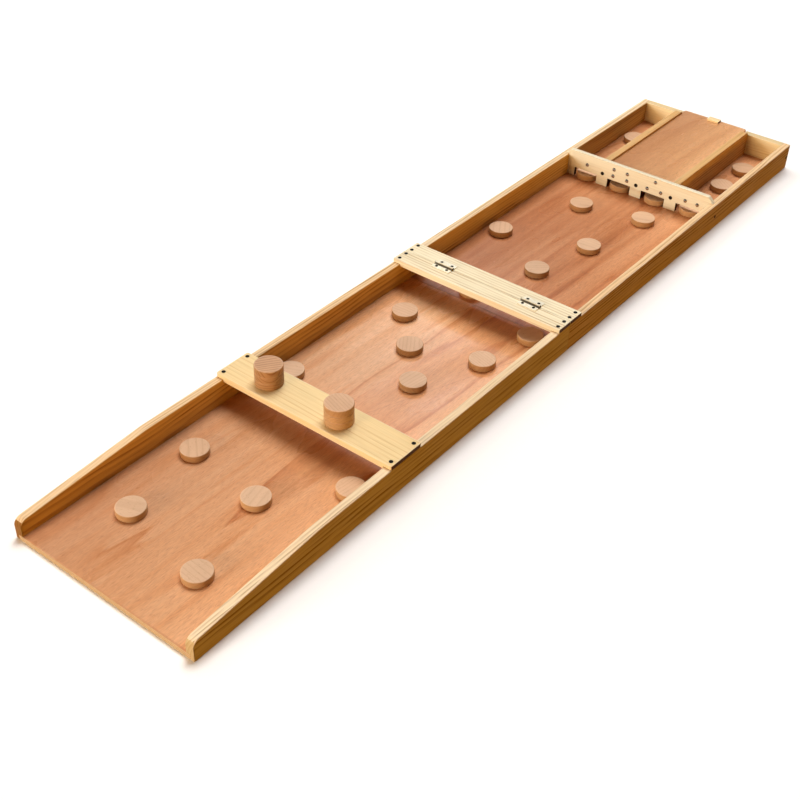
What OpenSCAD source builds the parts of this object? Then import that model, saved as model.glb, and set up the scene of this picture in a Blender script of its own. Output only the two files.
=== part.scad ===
// A folding dutch shuffleboard: two shallow halves joined by two butt hinges, with a gate board of four
// scoring openings, compartments behind it under a sliding lid, and thirty round wooden pucks.
// X runs across the board, Y from the launch end to the scoring end, Z up. The seam of the halves is at y = 0.

/* [Board] */
// Width over the two rails
board_width = 240; // [236:1:244]
// Length of each half
half_length = 598; // [596:1:604]
// Height of the rails
rail_height = 36; // [35:0.5:37]
// Thickness of the rails
rail_thickness = 10; // [9.5:0.5:10]
// Thickness of the playing panels
panel_thickness = 6; // [5:0.5:6]
// Depth of the rabbet in each rail that takes the panel's edge
rabbet_depth = 5; // [3:0.5:5]
// Gap left between the two halves at the seam
seam_gap = 0.3; // [0.2:0.1:0.6]

/* [Launch end] */
// Distance from the seam at which the front rails start to slope down
slope_start = 436; // [430:1:450]
// Height of the front rails at the launch end
nose_height = 24; // [22:0.5:26]
// Radius of the rounded top corner at the launch end
nose_radius = 9; // [6:0.5:10]

/* [Bars over the rails] */
// Thickness of the bridge bar and the two hinge strips where they lie on the rails
bar_thickness = 5; // [4.5:0.5:5.5]
// Depth to which the bars reach down between the rails
bar_drop = 3; // [2:0.5:4]
// Width of the bridge bar along the board
bridge_width = 49; // [47:0.5:50]
// Distance of the bridge bar's middle from the seam
bridge_centre = 304; // [302:1:306]
// Radius of the bridge bar's corners
bridge_corner = 3; // [1:0.5:4]
// Width of each hinge strip along the board
strip_width = 24; // [23:0.5:26]

/* [Gate board] */
// Distance from the seam to the gate board's front face
gate_front = 363.5; // [362:0.5:364]
// Thickness of the gate board
gate_thickness = 6.5; // [6:0.5:6.5]
// Height that the gate board stands above the rails
gate_rise = 8; // [7:0.5:8]
// Depth of the slot in each rail that takes the gate board's end
gate_slot_depth = 5; // [3:0.5:5]
// Width of each scoring opening
opening_width = 36; // [35.5:0.5:38]
// Height of each scoring opening
opening_height = 13; // [12:0.5:14]
// Distance between the middles of neighbouring openings
opening_pitch = 53.6; // [53.2:0.2:54]

/* [Compartments] */
// Thickness of the rear wall
wall_thickness = 11; // [10:0.5:11]
// Thickness of the three dividers
divider_thickness = 9.7; // [9:0.1:10]
// Height of the top of the two outer dividers
divider_top = 41.5; // [41:0.5:42]
// Radius of the rounded rear end of the outer dividers
divider_round = 8; // [6:0.5:8]

/* [Sliding lid] */
// Thickness of the lid
lid_thickness = 3.5; // [3:0.1:3.5]
// Height of the lid's underside
lid_bottom = 34.5; // [34.5:0.1:34.8]
// Depth of the groove in each outer divider that guides the lid
groove_depth = 2.2; // [2:0.1:2.4]
// Gap between the lid and the faces it slides on
lid_gap = 0.2; // [0.15:0.05:0.25]
// Size of the pull block across, along and up
pull_size = [18.5, 10.5, 3]; // [3:0.5:24]

/* [Hinges] */
// Half the distance between the middles of the two hinges
hinge_offset = 62.6; // [60.6:0.5:65.1]
// Distance by which both hinges sit to the right of the middle of the board
hinge_shift = 2.3; // [0:0.1:3]
// Length of each hinge
hinge_length = 26; // [25:0.5:28]
// Reach of each leaf from the fold axis
leaf_reach = 10; // [9.5:0.5:11]
// Thickness of the leaves
leaf_thickness = 1; // [0.8:0.1:1]
// Outer radius of the knuckles
knuckle_radius = 1.6; // [1.5:0.1:1.7]
// Radius of the hinge pins
pin_radius = 0.8; // [0.7:0.05:0.8]

/* [Pucks] */
// Diameter of a puck
puck_diameter = 31.5; // [31:0.1:31.7]
// Thickness of a puck
puck_thickness = 8; // [7:0.25:8]
// Width of the eased edge round a puck's faces
puck_ease = 0.6; // [0.4:0.1:1]

/* [Hidden] */
$fn = 64;

// Board, worked out from the driving dimensions
half_width = board_width / 2;
rail_inner = half_width - rail_thickness;
panel_half = rail_inner + rabbet_depth;
seam_edge = seam_gap / 2;
bar_top = rail_height + bar_thickness;
bar_bottom = rail_height - bar_drop;
bar_gap = 0.2;
bar_shoulder = rail_inner - bar_gap;

// Launch end
slope_run = half_length - slope_start;
slope_drop = rail_height - nose_height;
slope_angle = atan(slope_drop / slope_run);
nose_centre_y = -half_length + nose_radius;
nose_centre_z = nose_height + nose_radius * tan(slope_angle) - nose_radius / cos(slope_angle);
// The slope ends on the nose's circle just past its tangent point, so that the two cross cleanly
nose_overlap = 4;
nose_meet_angle = slope_angle + nose_overlap;
nose_meet_y = nose_centre_y - nose_radius * sin(nose_meet_angle);
nose_meet_z = nose_centre_z + nose_radius * cos(nose_meet_angle);

// Gate board and compartments
gate_rear = gate_front + gate_thickness;
gate_top = rail_height + gate_rise;
gate_half = rail_inner + gate_slot_depth;
wall_front = half_length - wall_thickness;
divider_centre = opening_pitch;
outer_divider_inner = divider_centre - divider_thickness / 2;
lid_half = outer_divider_inner + groove_depth - lid_gap;
lid_top = lid_bottom + lid_thickness;
lid_end_gap = 0.3;
lid_front = gate_rear + lid_end_gap;
lid_corner = 4;
middle_divider_gap = 0.5;
middle_divider_top = lid_bottom - middle_divider_gap;
pull_corner = 1;
pull_rear = half_length - 1;

// Fold axis, high enough for the knuckles to clear the strips
fold_height = bar_top + knuckle_radius + 0.3;
hinge_places = [hinge_shift - hinge_offset, hinge_shift + hinge_offset];
knuckle_count = 5;
knuckle_pitch = hinge_length / knuckle_count;
knuckle_gap = 0.2;
leaf_start = knuckle_radius + 0.4;
leaf_corner = 1.5;
leaf_screw_x = 7.6;
leaf_screw_y = 5.6;
pin_clearance = 0.05;
pin_head_radius = 1.3;
pin_head_length = 0.5;

// Screws and nails
screw_clearance = 0.05;
wood_screw_length = 16;
wood_screw_shank = 1.3;
wood_screw_head = 2.3;
wood_screw_x = half_width - 5.5;
bridge_screw_spread = 18.2;
strip_screw_spots = [5.75, 18.5];
gate_screw_height = 24;
gate_screw_length = 20;
gate_screw_head = 2.7;
rail_screw_height = 18;
rail_screw_length = 20;
hinge_screw_length = 5.5;
hinge_screw_shank = 0.9;
hinge_screw_head = 1.9;
stud_head_radius = 2.75;
stud_head_height = 1.5;
stud_shank_radius = 0.8;
stud_shank_length = 5;
stud_upper_row = 35.5;
stud_lower_row = 25.5;
stud_sphere = (stud_head_radius * stud_head_radius + stud_head_height * stud_head_height)
    / (2 * stud_head_height);

// Studs over each opening as distances from the middle of the opening and heights
STUDS = [
    [-1.5, [[1.5, 28.5]]],
    [-0.5, [[-9.5, stud_upper_row], [11.5, stud_upper_row], [-10, stud_lower_row], [12, stud_lower_row]]],
    [0.5, [[1.5, 38], [-9.5, stud_lower_row], [11.5, stud_lower_row]]],
    [1.5, [[-5, 27], [13, 27]]]
];

// Places of the pucks' middles on the panels, across and along the board
FRONT_PUCKS = [
    [-57.2, -509.3], [-73.1, -408.5], [53.8, -529.1], [25.5, -421.7], [88.6, -352.1], [-88.5, -246.1],
    [-64.1, -71.3], [-16.7, -122.7], [27.8, -174], [64.2, -93], [79.2, -17]
];
REAR_PUCKS = [[-31, 20.4], [-87.1, 163.4], [-41.3, 290.6], [24.7, 201.7], [4, 111], [43.9, 309.5]];
GATE_PUCKS = [[-81.5, 373], [-27.7, 374.4], [28.2, 372.8], [80.4, 376]];
TRAY_PUCKS = [[-86.5, 514.9], [83.2, 529.9], [82, 464.8]];
LEFT_STACK = [-64.6, -304.2];
RIGHT_STACK = [34.2, -306.4];

// A box between two opposite corners
module box_between(low, high) {
    translate(low) cube(high - low);
}

// A flat rectangle with four round corners, centred
module rounded_rectangle(width, length, radius) {
    square([width - 2 * radius, length], center = true);
    square([width, length - 2 * radius], center = true);
    for (sx = [-1, 1], sy = [-1, 1])
        translate([sx * (width / 2 - radius), sy * (length / 2 - radius)]) circle(r = radius);
}

// A side outline, drawn along the board and up, given its thickness across the board
module across(start, thickness) {
    translate([start, 0, 0]) rotate([90, 0, 90]) linear_extrude(height = thickness) children();
}

// A countersunk screw pointing down from a head that is flush at z = 0; grow widens it for its hole
module countersunk_screw(head, shank, length, grow = 0) {
    head_depth = head - shank;
    tip_length = 2 * shank;
    rotate_extrude() polygon([
        [0, 0],
        [head + grow, 0],
        [shank + grow, -head_depth],
        [shank + grow, -(length - tip_length)],
        [0, -length - grow]
    ]);
}

// The cross recess in a screw's head
module cross_recess(head) {
    arm = head * 1.1;
    slot = head * 0.28;
    depth = head * 0.4;
    for (turn = [0, 90])
        rotate([0, 0, turn])
            translate([-arm / 2, -slot / 2, -depth]) cube([arm, slot, 2 * depth]);
}

// A wood screw with its cross recess
module screw(head, shank, length) {
    difference() {
        countersunk_screw(head, shank, length);
        cross_recess(head);
    }
}

// The screw places of the bridge bar
module at_bridge_screws() {
    for (sx = [-1, 1], sy = [-1, 1])
        translate([sx * wood_screw_x, -bridge_centre + sy * bridge_screw_spread, bar_top]) children();
}

// The screw places of one hinge strip; side is -1 on the front half and 1 on the rear half
module at_strip_screws(side) {
    for (sx = [-1, 1], spot = strip_screw_spots)
        translate([sx * wood_screw_x, side * spot, bar_top]) children();
}

// The places on the outer faces of the rear rails where screws enter the gate board and the rear wall
module at_rail_screws() {
    for (sx = [-1, 1], y = [gate_front + gate_thickness / 2, wall_front + wall_thickness / 2])
        translate([sx * half_width, y, rail_screw_height]) rotate([0, sx * 90, 0]) children();
}

// The places on the front face of the gate board where screws enter the dividers
module at_gate_screws() {
    for (step = [-1, 0, 1])
        translate([step * divider_centre, gate_front, gate_screw_height]) rotate([90, 0, 0]) children();
}

// The places of the score studs on the front face of the gate board
module at_studs() {
    for (group = STUDS, spot = group[1])
        translate([group[0] * opening_pitch + spot[0], gate_front, spot[1]]) rotate([90, 0, 0]) children();
}

// The hinge screw places; side is -1 on the front leaves and 1 on the rear leaves
module at_hinge_screws(side) {
    for (centre = hinge_places, sx = [-1, 1])
        translate([centre + sx * leaf_screw_x, side * leaf_screw_y, bar_top + leaf_thickness]) children();
}

module wood_screw_hole() {
    countersunk_screw(wood_screw_head, wood_screw_shank, wood_screw_length, screw_clearance);
}

module gate_screw_hole() {
    countersunk_screw(gate_screw_head, wood_screw_shank, gate_screw_length, screw_clearance);
}

module rail_screw_hole() {
    countersunk_screw(wood_screw_head, wood_screw_shank, rail_screw_length, screw_clearance);
}

module hinge_screw_hole() {
    countersunk_screw(hinge_screw_head, hinge_screw_shank, hinge_screw_length, screw_clearance);
}

// Side outline of a front rail: level from the seam, then sloping down to a rounded nose
module front_rail_outline() {
    polygon([
        [-seam_edge, 0],
        [-seam_edge, rail_height],
        [-slope_start, rail_height],
        [nose_meet_y, nose_meet_z],
        [nose_centre_y, nose_centre_z],
        [-half_length, nose_centre_z],
        [-half_length, 0]
    ]);
    translate([nose_centre_y, nose_centre_z]) circle(r = nose_radius);
}

// The right front rail, with its rabbet for the panel
module front_rail() {
    difference() {
        across(rail_inner, rail_thickness) front_rail_outline();
        box_between([rail_inner - 1, -half_length - 1, -1], [panel_half, 0, panel_thickness]);
        at_bridge_screws() wood_screw_hole();
        at_strip_screws(-1) wood_screw_hole();
    }
}

// The right rear rail, with its rabbet and the slot for the gate board
module rear_rail() {
    difference() {
        box_between([rail_inner, seam_edge, 0], [half_width, half_length, rail_height]);
        box_between([rail_inner - 1, 0, -1], [panel_half, half_length + 1, panel_thickness]);
        box_between(
            [rail_inner - 1, gate_front, panel_thickness - 1],
            [gate_half, gate_rear, rail_height + 1]
        );
        at_strip_screws(1) wood_screw_hole();
        at_rail_screws() rail_screw_hole();
    }
}

// Panels, rails and the bars across them
module front_panel() {
    color("#c98f6d") box_between([-panel_half, -half_length, 0], [panel_half, -seam_edge, panel_thickness]);
}

module rear_panel() {
    color("#bf7f5c") box_between([-panel_half, seam_edge, 0], [panel_half, half_length, panel_thickness]);
}

module front_right_rail() {
    color("#e3b873") front_rail();
}

module front_left_rail() {
    color("#e3b873") mirror([1, 0, 0]) front_rail();
}

module rear_right_rail() {
    color("#e3b873") rear_rail();
}

module rear_left_rail() {
    color("#e3b873") mirror([1, 0, 0]) rear_rail();
}

module bridge_bar() {
    front = -bridge_centre - bridge_width / 2;
    color("#f0d9a0") difference() {
        union() {
            translate([0, -bridge_centre, rail_height])
                linear_extrude(height = bar_thickness)
                    rounded_rectangle(board_width, bridge_width, bridge_corner);
            box_between(
                [-bar_shoulder, front, bar_bottom],
                [bar_shoulder, front + bridge_width, rail_height + 1]
            );
        }
        at_bridge_screws() wood_screw_hole();
    }
}

module bridge_bar_screws() {
    color("#1d1b1a") at_bridge_screws() screw(wood_screw_head, wood_screw_shank, wood_screw_length);
}

// A hinge strip; side is -1 on the front half and 1 on the rear half
module hinge_strip(side) {
    difference() {
        mirror([0, side < 0 ? 1 : 0, 0]) {
            box_between([-half_width, seam_edge, rail_height], [half_width, strip_width, bar_top]);
            box_between([-bar_shoulder, seam_edge, bar_bottom], [bar_shoulder, strip_width, rail_height + 1]);
        }
        at_strip_screws(side) wood_screw_hole();
        at_hinge_screws(side) hinge_screw_hole();
    }
}

module front_hinge_strip() {
    color("#f0d9a0") hinge_strip(-1);
}

module rear_hinge_strip() {
    color("#f0d9a0") hinge_strip(1);
}

module front_strip_screws() {
    color("#1d1b1a") at_strip_screws(-1) screw(wood_screw_head, wood_screw_shank, wood_screw_length);
}

module rear_strip_screws() {
    color("#1d1b1a") at_strip_screws(1) screw(wood_screw_head, wood_screw_shank, wood_screw_length);
}

// Front outline of the gate board: openings at its foot, top corners cut at 45 degrees above the rails
module gate_outline() {
    difference() {
        polygon([
            [-gate_half, panel_thickness],
            [gate_half, panel_thickness],
            [gate_half, rail_height],
            [gate_half - gate_rise, gate_top],
            [gate_rise - gate_half, gate_top],
            [-gate_half, rail_height]
        ]);
        for (step = [-1.5 : 1 : 1.5])
            translate([step * opening_pitch - opening_width / 2, panel_thickness - 1])
                square([opening_width, opening_height + 1]);
    }
}

module gate_board() {
    color("#f3e0b2") difference() {
        translate([0, gate_rear, 0])
            rotate([90, 0, 0]) linear_extrude(height = gate_thickness) gate_outline();
        at_gate_screws() gate_screw_hole();
        at_rail_screws() rail_screw_hole();
        at_studs() translate([0, 0, -stud_shank_length - screw_clearance])
            cylinder(r = stud_shank_radius + screw_clearance, h = stud_shank_length + 1);
    }
}

module gate_screws() {
    color("#1d1b1a") at_gate_screws() screw(gate_screw_head, wood_screw_shank, gate_screw_length);
}

// A dome-headed nail pointing down, its head resting at z = 0
module dome_nail() {
    translate([0, 0, -stud_shank_length])
        cylinder(r = stud_shank_radius, h = stud_shank_length);
    rotate_extrude() intersection() {
        translate([0, stud_head_height - stud_sphere]) circle(r = stud_sphere);
        square([stud_head_radius, stud_head_height]);
    }
}

module score_studs() {
    color("#8c8a86") at_studs() dome_nail();
}

module rail_screws() {
    color("#1d1b1a") at_rail_screws() screw(wood_screw_head, wood_screw_shank, rail_screw_length);
}

// The rear wall stands on the panel and is cut down in the middle, where the lid passes over it
module rear_wall() {
    color("#e8c98a") difference() {
        box_between([-rail_inner, wall_front, panel_thickness], [rail_inner, half_length, rail_height]);
        box_between(
            [-lid_half - lid_gap, wall_front - 1, lid_bottom - lid_gap],
            [lid_half + lid_gap, half_length + 1, rail_height + 1]
        );
        at_rail_screws() rail_screw_hole();
    }
}

// Side outline of an outer divider, its top rear corner rounded
module divider_outline() {
    translate([gate_rear, panel_thickness])
        square([wall_front - divider_round - gate_rear, divider_top - panel_thickness]);
    translate([gate_rear, panel_thickness])
        square([wall_front - gate_rear, divider_top - divider_round - panel_thickness]);
    translate([wall_front - divider_round, divider_top - divider_round]) circle(r = divider_round);
}

// The right divider, with the groove for the lid's edge on its inner face
module outer_divider() {
    difference() {
        across(outer_divider_inner, divider_thickness) divider_outline();
        box_between(
            [outer_divider_inner - 1, gate_rear - 1, lid_bottom - lid_gap],
            [outer_divider_inner + groove_depth, wall_front + 1, lid_top + lid_gap]
        );
        at_gate_screws() gate_screw_hole();
    }
}

module right_divider() {
    color("#e8c98a") outer_divider();
}

module left_divider() {
    color("#e8c98a") mirror([1, 0, 0]) outer_divider();
}

module middle_divider() {
    color("#e8c98a") difference() {
        box_between(
            [-divider_thickness / 2, gate_rear, panel_thickness],
            [divider_thickness / 2, wall_front, middle_divider_top]
        );
        at_gate_screws() gate_screw_hole();
    }
}

// Plan of the lid, with its two rear corners rounded
module lid_plan() {
    translate([-lid_half, lid_front]) square([2 * lid_half, half_length - lid_corner - lid_front]);
    translate([-lid_half + lid_corner, lid_front])
        square([2 * (lid_half - lid_corner), half_length - lid_front]);
    for (sx = [-1, 1])
        translate([sx * (lid_half - lid_corner), half_length - lid_corner]) circle(r = lid_corner);
}

module sliding_lid() {
    color("#c48a63") translate([0, 0, lid_bottom]) linear_extrude(height = lid_thickness) lid_plan();
}

module lid_pull() {
    color("#f0d9a0") translate([0, pull_rear - pull_size[1] / 2, lid_top])
        linear_extrude(height = pull_size[2]) rounded_rectangle(pull_size[0], pull_size[1], pull_corner);
}

// The start of a knuckle along the hinge, counted from the hinge's left end
function knuckle_start(step) = -hinge_length / 2 + step * knuckle_pitch + knuckle_gap / 2;

// A leaf on the rear side, with the knuckles that steps lists
module leaf(steps) {
    plate_width = leaf_reach - leaf_start;
    knuckle_length = knuckle_pitch - knuckle_gap;
    difference() {
        union() {
            translate([0, leaf_start, bar_top]) linear_extrude(height = leaf_thickness) {
                translate([-hinge_length / 2, 0]) square([hinge_length, plate_width - leaf_corner]);
                translate([leaf_corner - hinge_length / 2, 0])
                    square([hinge_length - 2 * leaf_corner, plate_width]);
                for (sx = [-1, 1])
                    translate([sx * (hinge_length / 2 - leaf_corner), plate_width - leaf_corner])
                        circle(r = leaf_corner);
            }
            for (step = steps) {
                translate([knuckle_start(step), 0, fold_height])
                    rotate([0, 90, 0]) cylinder(r = knuckle_radius, h = knuckle_length);
                box_between(
                    [knuckle_start(step), 0, bar_top + 0.3],
                    [knuckle_start(step) + knuckle_length, leaf_start + 0.5, bar_top + leaf_thickness]
                );
            }
        }
        translate([-hinge_length, 0, fold_height])
            rotate([0, 90, 0]) cylinder(r = pin_radius + pin_clearance, h = 2 * hinge_length);
        for (sx = [-1, 1])
            translate([sx * leaf_screw_x, leaf_screw_y, bar_top + leaf_thickness]) hinge_screw_hole();
    }
}

module rear_leaf() {
    color("#d9d9d6") leaf([0, 2, 4]);
}

module front_leaf() {
    color("#d9d9d6") mirror([0, 1, 0]) leaf([1, 3]);
}

module left_hinge_front_leaf() {
    translate([hinge_places[0], 0, 0]) front_leaf();
}

module right_hinge_front_leaf() {
    translate([hinge_places[1], 0, 0]) front_leaf();
}

module left_hinge_rear_leaf() {
    translate([hinge_places[0], 0, 0]) rear_leaf();
}

module right_hinge_rear_leaf() {
    translate([hinge_places[1], 0, 0]) rear_leaf();
}

module hinge_pins() {
    reach = hinge_length / 2;
    color("#c9c9c6") for (centre = hinge_places)
        translate([centre - reach, 0, fold_height]) rotate([0, 90, 0]) {
            cylinder(r = pin_radius, h = hinge_length);
            translate([0, 0, -pin_head_length]) cylinder(r = pin_head_radius, h = pin_head_length);
            translate([0, 0, hinge_length]) cylinder(r = pin_head_radius, h = pin_head_length);
        }
}

module hinge_front_screws() {
    color("#8c8a86") at_hinge_screws(-1) screw(hinge_screw_head, hinge_screw_shank, hinge_screw_length);
}

module hinge_rear_screws() {
    color("#8c8a86") at_hinge_screws(1) screw(hinge_screw_head, hinge_screw_shank, hinge_screw_length);
}

// A puck with eased edges, standing at a place across and along the board and a height
module puck(spot, height) {
    radius = puck_diameter / 2;
    color("#d9ab7c") translate([spot[0], spot[1], height]) rotate_extrude() polygon([
        [0, 0],
        [radius - puck_ease, 0],
        [radius, puck_ease],
        [radius, puck_thickness - puck_ease],
        [radius - puck_ease, puck_thickness],
        [0, puck_thickness]
    ]);
}

// A puck lying on a panel
module panel_puck(spot) {
    puck(spot, panel_thickness);
}

// A puck in a stack on the bridge bar, counted from one at the bottom
module stack_puck(spot, level) {
    puck(spot, bar_top + (level - 1) * puck_thickness);
}

front_panel();
front_left_rail();
front_right_rail();
bridge_bar();
bridge_bar_screws();
front_hinge_strip();
front_strip_screws();
rear_panel();
rear_left_rail();
rear_right_rail();
rear_wall();
gate_board();
gate_screws();
score_studs();
left_divider();
middle_divider();
right_divider();
rear_hinge_strip();
rear_strip_screws();
rail_screws();
sliding_lid();
lid_pull();
left_hinge_front_leaf();
right_hinge_front_leaf();
left_hinge_rear_leaf();
right_hinge_rear_leaf();
hinge_pins();
hinge_front_screws();
hinge_rear_screws();
panel_puck(FRONT_PUCKS[0]);  // front_puck_1
panel_puck(FRONT_PUCKS[1]);  // front_puck_2
panel_puck(FRONT_PUCKS[2]);  // front_puck_3
panel_puck(FRONT_PUCKS[3]);  // front_puck_4
panel_puck(FRONT_PUCKS[4]);  // front_puck_5
panel_puck(FRONT_PUCKS[5]);  // front_puck_6
panel_puck(FRONT_PUCKS[6]);  // front_puck_7
panel_puck(FRONT_PUCKS[7]);  // front_puck_8
panel_puck(FRONT_PUCKS[8]);  // front_puck_9
panel_puck(FRONT_PUCKS[9]);  // front_puck_10
panel_puck(FRONT_PUCKS[10]);  // front_puck_11
panel_puck(REAR_PUCKS[0]);  // rear_puck_1
panel_puck(REAR_PUCKS[1]);  // rear_puck_2
panel_puck(REAR_PUCKS[2]);  // rear_puck_3
panel_puck(REAR_PUCKS[3]);  // rear_puck_4
panel_puck(REAR_PUCKS[4]);  // rear_puck_5
panel_puck(REAR_PUCKS[5]);  // rear_puck_6
panel_puck(GATE_PUCKS[0]);  // gate_puck_1
panel_puck(GATE_PUCKS[1]);  // gate_puck_2
panel_puck(GATE_PUCKS[2]);  // gate_puck_3
panel_puck(GATE_PUCKS[3]);  // gate_puck_4
panel_puck(TRAY_PUCKS[0]);  // tray_puck_1
panel_puck(TRAY_PUCKS[1]);  // tray_puck_2
panel_puck(TRAY_PUCKS[2]);  // tray_puck_3
stack_puck(LEFT_STACK, 1);  // left_stack_puck_1
stack_puck(LEFT_STACK, 2);  // left_stack_puck_2
stack_puck(LEFT_STACK, 3);  // left_stack_puck_3
stack_puck(RIGHT_STACK, 1);  // right_stack_puck_1
stack_puck(RIGHT_STACK, 2);  // right_stack_puck_2
stack_puck(RIGHT_STACK, 3);  // right_stack_puck_3
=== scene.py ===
"""A folding dutch shuffleboard: two shallow halves, a gate board with score studs, a lid and thirty pucks.

Sizes are in millimetres until a mesh is made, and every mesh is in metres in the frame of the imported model:
X across the board, Y from the launch end to the scoring end, Z up, with the seam of the halves at y = 0.
"""
import logging
import math
from dataclasses import dataclass
from enum import Enum

import bpy
import numpy as np
from mathutils import Matrix, Vector


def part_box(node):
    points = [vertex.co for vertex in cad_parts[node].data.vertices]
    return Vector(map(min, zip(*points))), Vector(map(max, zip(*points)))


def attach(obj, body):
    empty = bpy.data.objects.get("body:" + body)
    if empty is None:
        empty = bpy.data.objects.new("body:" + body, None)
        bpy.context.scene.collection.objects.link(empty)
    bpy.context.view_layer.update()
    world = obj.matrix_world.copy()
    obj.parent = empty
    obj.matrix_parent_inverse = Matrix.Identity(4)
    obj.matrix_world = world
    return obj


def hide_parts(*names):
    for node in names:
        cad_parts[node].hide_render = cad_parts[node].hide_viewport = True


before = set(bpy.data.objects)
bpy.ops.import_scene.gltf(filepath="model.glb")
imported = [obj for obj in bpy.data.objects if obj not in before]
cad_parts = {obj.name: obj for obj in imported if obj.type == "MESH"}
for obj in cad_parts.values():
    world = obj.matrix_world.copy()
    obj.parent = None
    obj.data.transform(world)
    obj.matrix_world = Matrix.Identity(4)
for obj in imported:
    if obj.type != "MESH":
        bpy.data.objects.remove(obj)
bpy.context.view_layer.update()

LOG = logging.getLogger("shuffleboard")
Array = np.ndarray
Place = tuple[float, float, float]
Colour = tuple[float, float, float]
Socket = bpy.types.NodeSocket
Value = Socket | float | Colour
Stops = list[tuple[float, float]]

# One millimetre in metres
MM = 0.001

# Heights of the panels' and the rails' tops, and how far the rails' outer faces stand in from their nodes'
PANEL_TOP = 6.0
RAIL_TOP = 36.0
RAIL_RECESS = 0.25

# Straight pieces in an eased arris, and the least radius of a corner
EASING_STEPS = 3
LEAST_RADIUS = 0.12

# A face looks along an axis where its normal's part on that axis is more than this
LOOKS_ALONG = 0.72

# Edges sharper than this many degrees stay sharp
SHARP_EDGE = 50.0


class Plane(Enum):
    """The plane an outline is drawn in, as the axes of its two coordinates and of its levels."""

    PLAN = (0, 1, 2)
    FRONT = (0, 2, 1)


class Run(float, Enum):
    """The way the fibres of a board run, as the turn in degrees from across the board."""

    ACROSS = 0.0
    ALONG = 90.0


class Faces(Enum):
    """The faces of a piece that take its second finish, as the axis they are told by.

    SIDES and ENDS look along their axis, and EDGES are all the faces that do not.
    """

    SIDES = (1.0, 0.0, 0.0)
    ENDS = (0.0, 1.0, 0.0)
    EDGES = (0.0, 0.0, 1.0)


class Side(Enum):
    """The left or the right of the board, seen from the launch end."""

    LEFT = -1
    RIGHT = 1

    def inner_first(self, low: float, high: float) -> tuple[float, float]:
        """A piece's lowest and highest x, with the one nearer the board's middle first."""
        return (low, high) if self is Side.RIGHT else (high, low)


# Shapes

@dataclass
class Shell:
    """One closed surface.

    Args:
        points: places of the points in millimetres, (n, 3).
        quads: point numbers of the four-sided faces, (q, 4).
        caps: point numbers of the two end faces, (2, k).
        marks: how much each point lies on an arris, 0 to 1, (n,).
    """

    points: Array
    quads: Array
    caps: Array
    marks: Array

    def normals(self) -> tuple[Array, Array]:
        """The unit normals of the quads and of the caps.

        Returns:
            Two arrays (q, 3) and (2, 3): half the sum of p x q over the edges from p to q, made one long.
        """
        found = []
        for faces in (self.quads, self.caps):
            here = self.points[faces] - self.points[faces].mean(axis=1, keepdims=True)
            area = np.cross(here, np.roll(here, -1, axis=1)).sum(axis=1)
            found.append(area / np.maximum(np.linalg.norm(area, axis=1, keepdims=True), 1e-12))
        return found[0], found[1]

    def volume(self) -> float:
        """The volume inside, positive where the faces point outwards: a sixth of the sum of c . (p x q)."""
        total = 0.0
        for faces in (self.quads, self.caps):
            here = self.points[faces]
            middle = here.mean(axis=1, keepdims=True)
            edge = np.cross(here - middle, np.roll(here, -1, axis=1) - middle).sum(axis=1)
            total += float((edge * middle[:, 0]).sum()) / 6
        return total


@dataclass(frozen=True)
class Grain:
    """How a board was cut from its log, so that its growth rings pass through its faces as they should.

    Args:
        turn: turn of the fibres from across the board, in degrees.
        pith: where the log's middle lies from the board's middle, beside the fibres and up, in millimetres.
        start: how far along the log the board begins, in millimetres.
        drift: how far the log's middle runs to the side for each millimetre along the fibres.
    """

    turn: float
    pith: tuple[float, float]
    start: float = 0.0
    drift: float = 0.012

    def coordinates(self, points: Array) -> Array:
        """Places in the log.

        Along is x cos t + y sin t, beside is y cos t - x sin t, both from the board's middle, and up is z.

        Args:
            points: places on the board in millimetres, (n, 3).
        Returns:
            Places in the log in metres, along, beside and up, (n, 3).
        """
        middle = (points.min(axis=0) + points.max(axis=0)) / 2
        x, y, z = (points - middle).T
        angle = math.radians(self.turn)
        along = x * math.cos(angle) + y * math.sin(angle)
        beside = y * math.cos(angle) - x * math.sin(angle) - self.pith[0] + self.drift * along
        return np.stack([along + self.start, beside, z - self.pith[1]], axis=1) * MM


def drawn_in(corners: Array, depth: Array) -> Array:
    """Draws closed outlines in by a depth.

    A corner moves by depth (m + n) / (1 + m . n), where m and n are the inward normals of its two edges.

    Args:
        corners: counter-clockwise corners of each level's outline, (levels, corners, 2).
        depth: how far each level's outline is drawn in, (levels,).
    Returns:
        The moved corners, (levels, corners, 2).
    """
    ahead = np.roll(corners, -1, axis=1) - corners
    ahead = ahead / np.linalg.norm(ahead, axis=2, keepdims=True)
    after = np.stack([-ahead[..., 1], ahead[..., 0]], axis=-1)
    before = np.roll(after, 1, axis=1)
    lean = 1 + (before * after).sum(axis=2, keepdims=True)
    return corners + depth[:, None, None] * (before + after) / lean


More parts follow.
